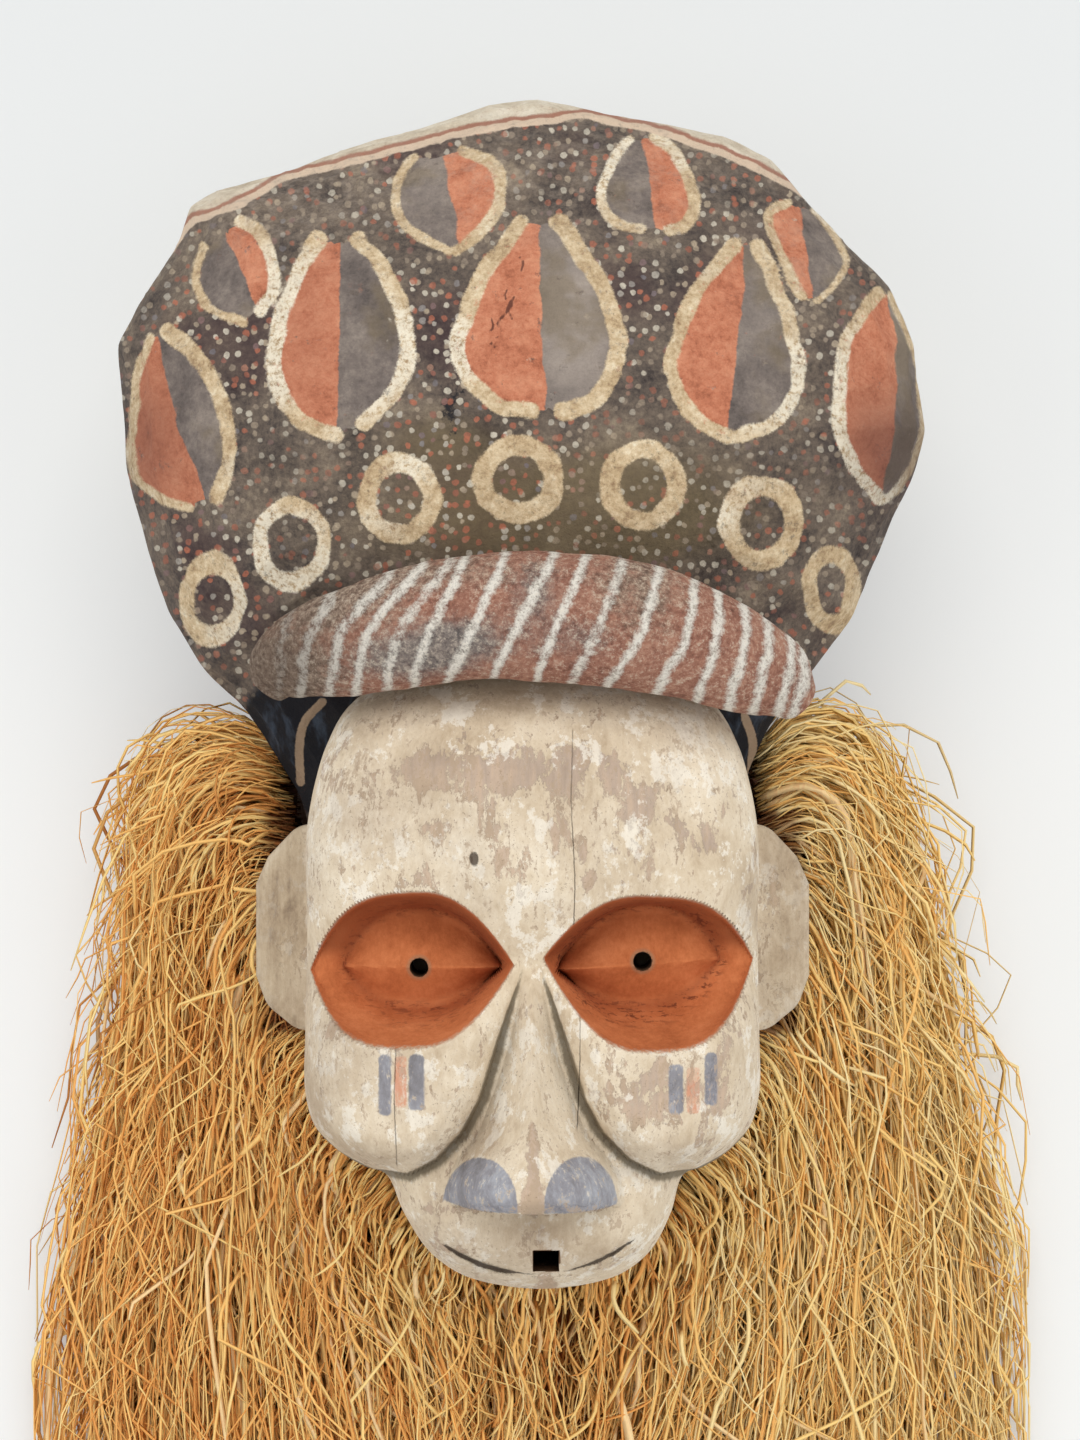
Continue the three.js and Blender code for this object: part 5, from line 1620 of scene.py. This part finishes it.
def capCloth():
    f = Finish("capCloth")
    sheet = {0: f.painted("chartU"), 1: f.painted("chartV"), 2: 0.0}
    chart = f.start.add("ShaderNodeCombineXYZ", None, sheet)
    mottle = f.noise(40, 6, 0.68)
    fine = f.noise(420, 5, 0.75)
    grit = f.noise(1300, 3, 0.7)
    warp = f.noise(300, 3, 0.6, output=1)
    moved = {0: warp, 1: (0.05, 0.04, 0.0), 2: chart}
    chart = f.start.add("ShaderNodeVectorMath", {"operation": "MULTIPLY_ADD"}, moved)
    scuffed = f.noise(150, 6, 0.78)
    dark, flap = f.painted("dark"), f.painted("flap").min(1.0)
    ground = f.ramp(mottle * 0.6 + fine * 0.4, [
        (0.34, (42, 38, 40)), (0.43, (80, 72, 68)), (0.54, (112, 100, 90)),
        (0.67, (150, 136, 118))])
    tone = f.noise(16, 3, 0.5)
    ground = ground.blend((74, 56, 58), tone.step(0.52, 0.66) * 0.55)
    olive = (f.painted("cloud") + (1 - tone) * 0.8).step(0.42, 1.3)
    ground = ground.blend((110, 96, 70), olive * (0.35 + fine * 0.6))
    ground = ground.blend((26, 28, 36), (dark.min(1.0) * 0.3 + scuffed).step(0.74, 0.88) * 0.9)
    # painted sheen: lighter streaks on the dark cloth of the temple flaps
    sheenStreaks = f.noise(120, 4, 0.6, f.stretched(1, 0.25, 0.5)).step(0.5, 0.72)
    temple = f.ramp(sheenStreaks, [(0.0, (18, 20, 27)), (1.0, (58, 68, 82))])
    flapMask = (flap + scuffed * 0.4).step(0.55, 0.85)
    ground = ground.blend(temple, flapMask * 0.95)
    color = ground
    for scale, reach, share in ((8.6, 0.33, 0.9), (5.6, 0.23, 0.6)):
        spot = f.cells(chart, scale, 0.85)
        tint = f.cells(chart, scale, 0.85, 1)
        pick = f.start.add("ShaderNodeSeparateColor", None, {0: tint}, 0)
        size = f.start.add("ShaderNodeSeparateColor", None, {0: tint}, 1)
        dot = 1 - (spot + fine * 0.2 - size * 0.1).step(reach - 0.08, reach + 0.02)
        dotColor = f.ramp(pick, [
            (0.0, (184, 168, 146)), (0.24, (146, 132, 118)), (0.3, (182, 110, 86)),
            (0.52, (150, 96, 80)), (0.58, (118, 114, 120)), (0.7, (206, 198, 182))])
        shown = dot * (1 - pick.step(share - 0.02, share)) * (fine * 1.5).min(0.9) * (1 - flapMask)
        shown = shown * (tone * 2.6 - 0.45).max(0.35).min(1.0)
        color = color.blend(dotColor, shown)
    edge = fine * 7 + grit * 4 - 5.5
    paintRed = f.ramp(fine * 0.45 + f.noise(70, 5, 0.65) * 0.55, [
        (0.34, (146, 86, 64)), (0.46, (188, 118, 90)), (0.58, (206, 140, 110)),
        (0.72, (216, 156, 126))])
    paintRed = paintRed.blend((150, 96, 76), f.painted("redDim").min(1.0) * (0.3 + scuffed * 0.6))
    paintRed = paintRed.blend((70, 40, 38), f.painted("scribble").step(-0.6, 0.5) * 0.8)
    greyTone = f.noise(24, 4, 0.6)
    paintGrey = f.ramp(fine * 0.35 + f.noise(60, 5, 0.65) * 0.65, [
        (0.34, (84, 77, 75)), (0.5, (118, 108, 103)), (0.66, (148, 137, 128))])
    paintGrey = paintGrey.blend((186, 174, 164), f.painted("greyLit").min(1.0) * 0.5)
    paintGrey = paintGrey.blend((120, 106, 84), greyTone.step(0.5, 0.62) * 0.55)
    cream = f.ramp(fine * 0.5 + f.noise(90, 5, 0.7) * 0.5, [
        (0.36, (150, 124, 96)), (0.46, (190, 166, 132)), (0.56, (214, 194, 162)),
        (0.68, (236, 226, 204))])
    cream = cream.blend((240, 234, 218), f.noise(13, 3, 0.5).step(0.52, 0.62) * fine.step(0.35, 0.55) * 0.7)
    greyHeld = 1 - scuffed.step(0.58, 0.68) * 0.6
    color = color.blend(paintGrey, (f.painted("grey") + edge * 0.5).step(-1.4, 0.8) * greyHeld)
    redHeld = 1 - scuffed.step(0.6, 0.68) * 0.7
    color = color.blend(paintRed, (f.painted("red") + edge * 0.5).step(-1.4, 0.8) * redHeld)
    worn = f.noise(260, 6, 0.8).step(0.54, 0.66) * 0.6
    lineEdge = fine * 3.5 + grit * 3.5 - 3.4
    color = color.blend(cream, (f.painted("line") + lineEdge).step(-1.5, 1.7) * (1 - worn))
    color = color.blend((164, 140, 116), (f.painted("strap") + edge * 0.4).step(-0.5, 1) * 0.8)
    band = f.painted("band") + edge * 0.4
    color = color.blend((212, 190, 168), band.step(-1, 1) * (1 - worn * 0.5))
    color = color.blend((152, 98, 80), band.step(6, 7.5) * 0.85)
    panel = f.ramp(f.noise(60, 6, 0.7), [
        (0.3, (172, 156, 134)), (0.5, (208, 196, 176)), (0.7, (228, 220, 204))])
    color = color.blend(panel, band.step(9.5, 12) * (1 - worn * 0.5))
    color = color.blend((62, 46, 52), f.painted("shade").min(1.0) * 0.6)
    lit = f.painted("lit").min(1.0) * f.noise(130, 6, 0.75).step(0.42, 0.68)
    color = color.blend((176, 162, 148), lit * 0.4)
    color = color.shade(0.74 + grit * 0.32 + scuffed * 0.34)
    inner = 1 - f.painted("outside").step(0.2, 0.8)
    color = color.blend(f.ramp(mottle, [(0.3, (44, 36, 30)), (0.7, (82, 68, 54))]), inner)
    normal = f.bump(grit * 0.4 + fine * 0.8 + scuffed * 0.4, 0.0012, 0.9)
    return f.end(color, 0.9 + grit * 0.08, normal, {"Specular IOR Level": 0.2})


def rollCloth():
    f = Finish("rollCloth")
    mottle = f.noise(60, 6, 0.68)
    fine = f.noise(420, 5, 0.78)
    grit = f.noise(1300, 3, 0.7)
    rubbed = f.noise(170, 6, 0.8)
    color = f.ramp(mottle * 0.4 + fine * 0.6, [
        (0.34, (104, 72, 62)), (0.45, (150, 104, 88)), (0.56, (176, 130, 110)),
        (0.68, (190, 156, 136))])
    grime = (f.painted("worn") * 0.8 + rubbed).step(0.55, 1.05)
    color = color.blend(f.ramp(fine, [(0.38, (98, 84, 74)), (0.6, (172, 154, 136))]), grime * 0.85)
    blue = (f.painted("stain") + rubbed * 1.2 + fine * 0.5).step(0.95, 1.8)
    color = color.blend(f.ramp(fine, [(0.36, (84, 88, 90)), (0.62, (150, 148, 142))]), blue * 0.8)
    white = (f.painted("stripe") + fine * 8 + rubbed * 12 + grit * 3 - 11.3).step(-2.8, 3.6)
    kept = (f.painted("bright") * 0.7 + rubbed * 0.9 + fine * 0.5).step(0.8, 1.25)
    chalk = f.ramp(fine * 0.6 + grit * 0.4, [(0.36, (184, 174, 160)), (0.56, (244, 240, 232))])
    color = color.blend(chalk, white * kept)
    dust = (fine * 0.6 + grit * 0.4).step(0.5, 0.6) * rubbed.step(0.36, 0.58)
    color = color.blend((208, 194, 176), dust * 0.6)
    color = color.blend((84, 70, 60), f.painted("dim").min(1.0) * 0.6)
    color = color.shade(0.76 + grit * 0.35 + fine * 0.25)
    normal = f.bump(grit * 0.4 + fine * 0.9 + white * kept * 0.2, 0.0016, 0.95)
    return f.end(color, 0.9 + grit * 0.08, normal, {"Specular IOR Level": 0.2})


def raffiaFinish():
    f = Finish("raffiaFinish")
    tint = f.painted("tint")
    fibre = f.noise(900, 3, 0.6, f.stretched(1, 0.1, 1))
    color = f.ramp(tint * 0.8 + fibre * 0.2, [
        (0.08, (158, 96, 44)), (0.24, (238, 168, 92)), (0.42, (254, 200, 120)),
        (0.62, (255, 220, 144)), (0.84, (255, 234, 178)), (0.96, (244, 198, 146))])
    # painted shade: strands lying low in the hank or beside the wood, and the mats, are darker
    deepShade = 1 - f.painted("depth").step(-0.15, 0.55)
    color = color.blend((122, 60, 30), deepShade * 0.92)
    # painted shade where the strands spring from behind the wood
    root = 1 - f.painted("along").step(0.0, 0.06)
    color = color.blend((80, 46, 28), root * 0.55)
    return f.end(color, 0.7 + fibre * 0.2, f.bump(fibre, 0.0003, 0.5), {"Specular IOR Level": 0.2})


def paint(piece, material):
    piece.data.materials.clear()
    piece.data.materials.append(material)


paint(carvedFace, paintedWood())
paint(clothCap, capCloth())
paint(brow, rollCloth())
strandMaterial = raffiaFinish()
for piece, node in hankPieces:
    paint(piece, strandMaterial)
print("stage: finishes on")

# floor and light

room = {
    "floorSize": 8, "glow": 0.34, "glowFrom": (0.125, 0.16),  # metres; the floor glows, except under the mask
    "aim": (0, 220, 100),  # every light looks here
    # each light: its name, place, size in metres, power and colour
    "lights": [
        ("skyLight", (0, 2900, 4500), (4.4, 2.9), 92, (1.0, 0.985, 0.955)),
        ("fillLeft", (-2200, 300, 2100), (2.0, 2.0), 15, (1, 1, 1)),
        ("fillRight", (2200, 100, 2100), (2.0, 2.0), 13, (1.0, 0.98, 0.95)),
    ],
    "air": (0.97, 0.96, 0.93, 1), "airStrength": 0.74,
}


def makeFloor():
    deselect()
    bpy.ops.mesh.primitive_plane_add(size=room["floorSize"], location=(0, 0, 0))
    floor = bpy.context.object
    floor.name = "floor"
    f = Finish("floorPaper")
    height = f.place.add("ShaderNodeSeparateXYZ", None, {0: f.place}, 1)
    # painted shade: the paper darkens towards the top of the picture
    topShade = f.noise(3, 2) * 0.2 + height.step(0.05, 0.5) * 0.8
    paper = f.ramp(topShade, [(0.1, (238, 240, 241)), (0.9, (221, 224, 226))])
    away = f.place.add("ShaderNodeVectorMath", {"operation": "LENGTH"}, {0: f.place}, 1)
    glow = {"Emission Color": paper.shade(away.step(*room["glowFrom"])), "Emission Strength": room["glow"]}
    paint(floor, f.end(paper.shade(0.68), 0.9, None, glow))


def addLight(name, spot, size, power, color):
    light = bpy.data.objects.new(name, bpy.data.lights.new(name, "AREA"))
    bpy.context.scene.collection.objects.link(light)
    light.data.shape = "RECTANGLE"
    light.data.size, light.data.size_y = size
    light.data.energy = power
    light.data.color = color
    place = toFrame(spot)
    light.location = place
    aim = toFrame(room["aim"]) - place
    pitch = math.atan2(math.hypot(aim[0], aim[1]), -aim[2])
    turn = math.atan2(-aim[0], aim[1]) if abs(aim[0]) + abs(aim[1]) > 1e-6 else 0
    light.rotation_euler = (pitch, 0, turn)


makeFloor()
for light in room["lights"]:
    addLight(*light)
world = bpy.data.worlds.new("room")
bpy.context.scene.world = world
world.use_nodes = True
world.node_tree.nodes["Background"].inputs[0].default_value = room["air"]
world.node_tree.nodes["Background"].inputs[1].default_value = room["airStrength"]
bpy.context.scene.view_settings.view_transform = "Standard"

for piece, node, slot in (
    (carvedFace, "face", "painted_wood"),
    (clothCap, "headdress", "cap_cloth"),
    (brow, "brow_roll", "roll_cloth"),
):
    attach(piece, "root")
    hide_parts(node)
for piece, node in hankPieces:
    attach(piece, "root")
    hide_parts(node)
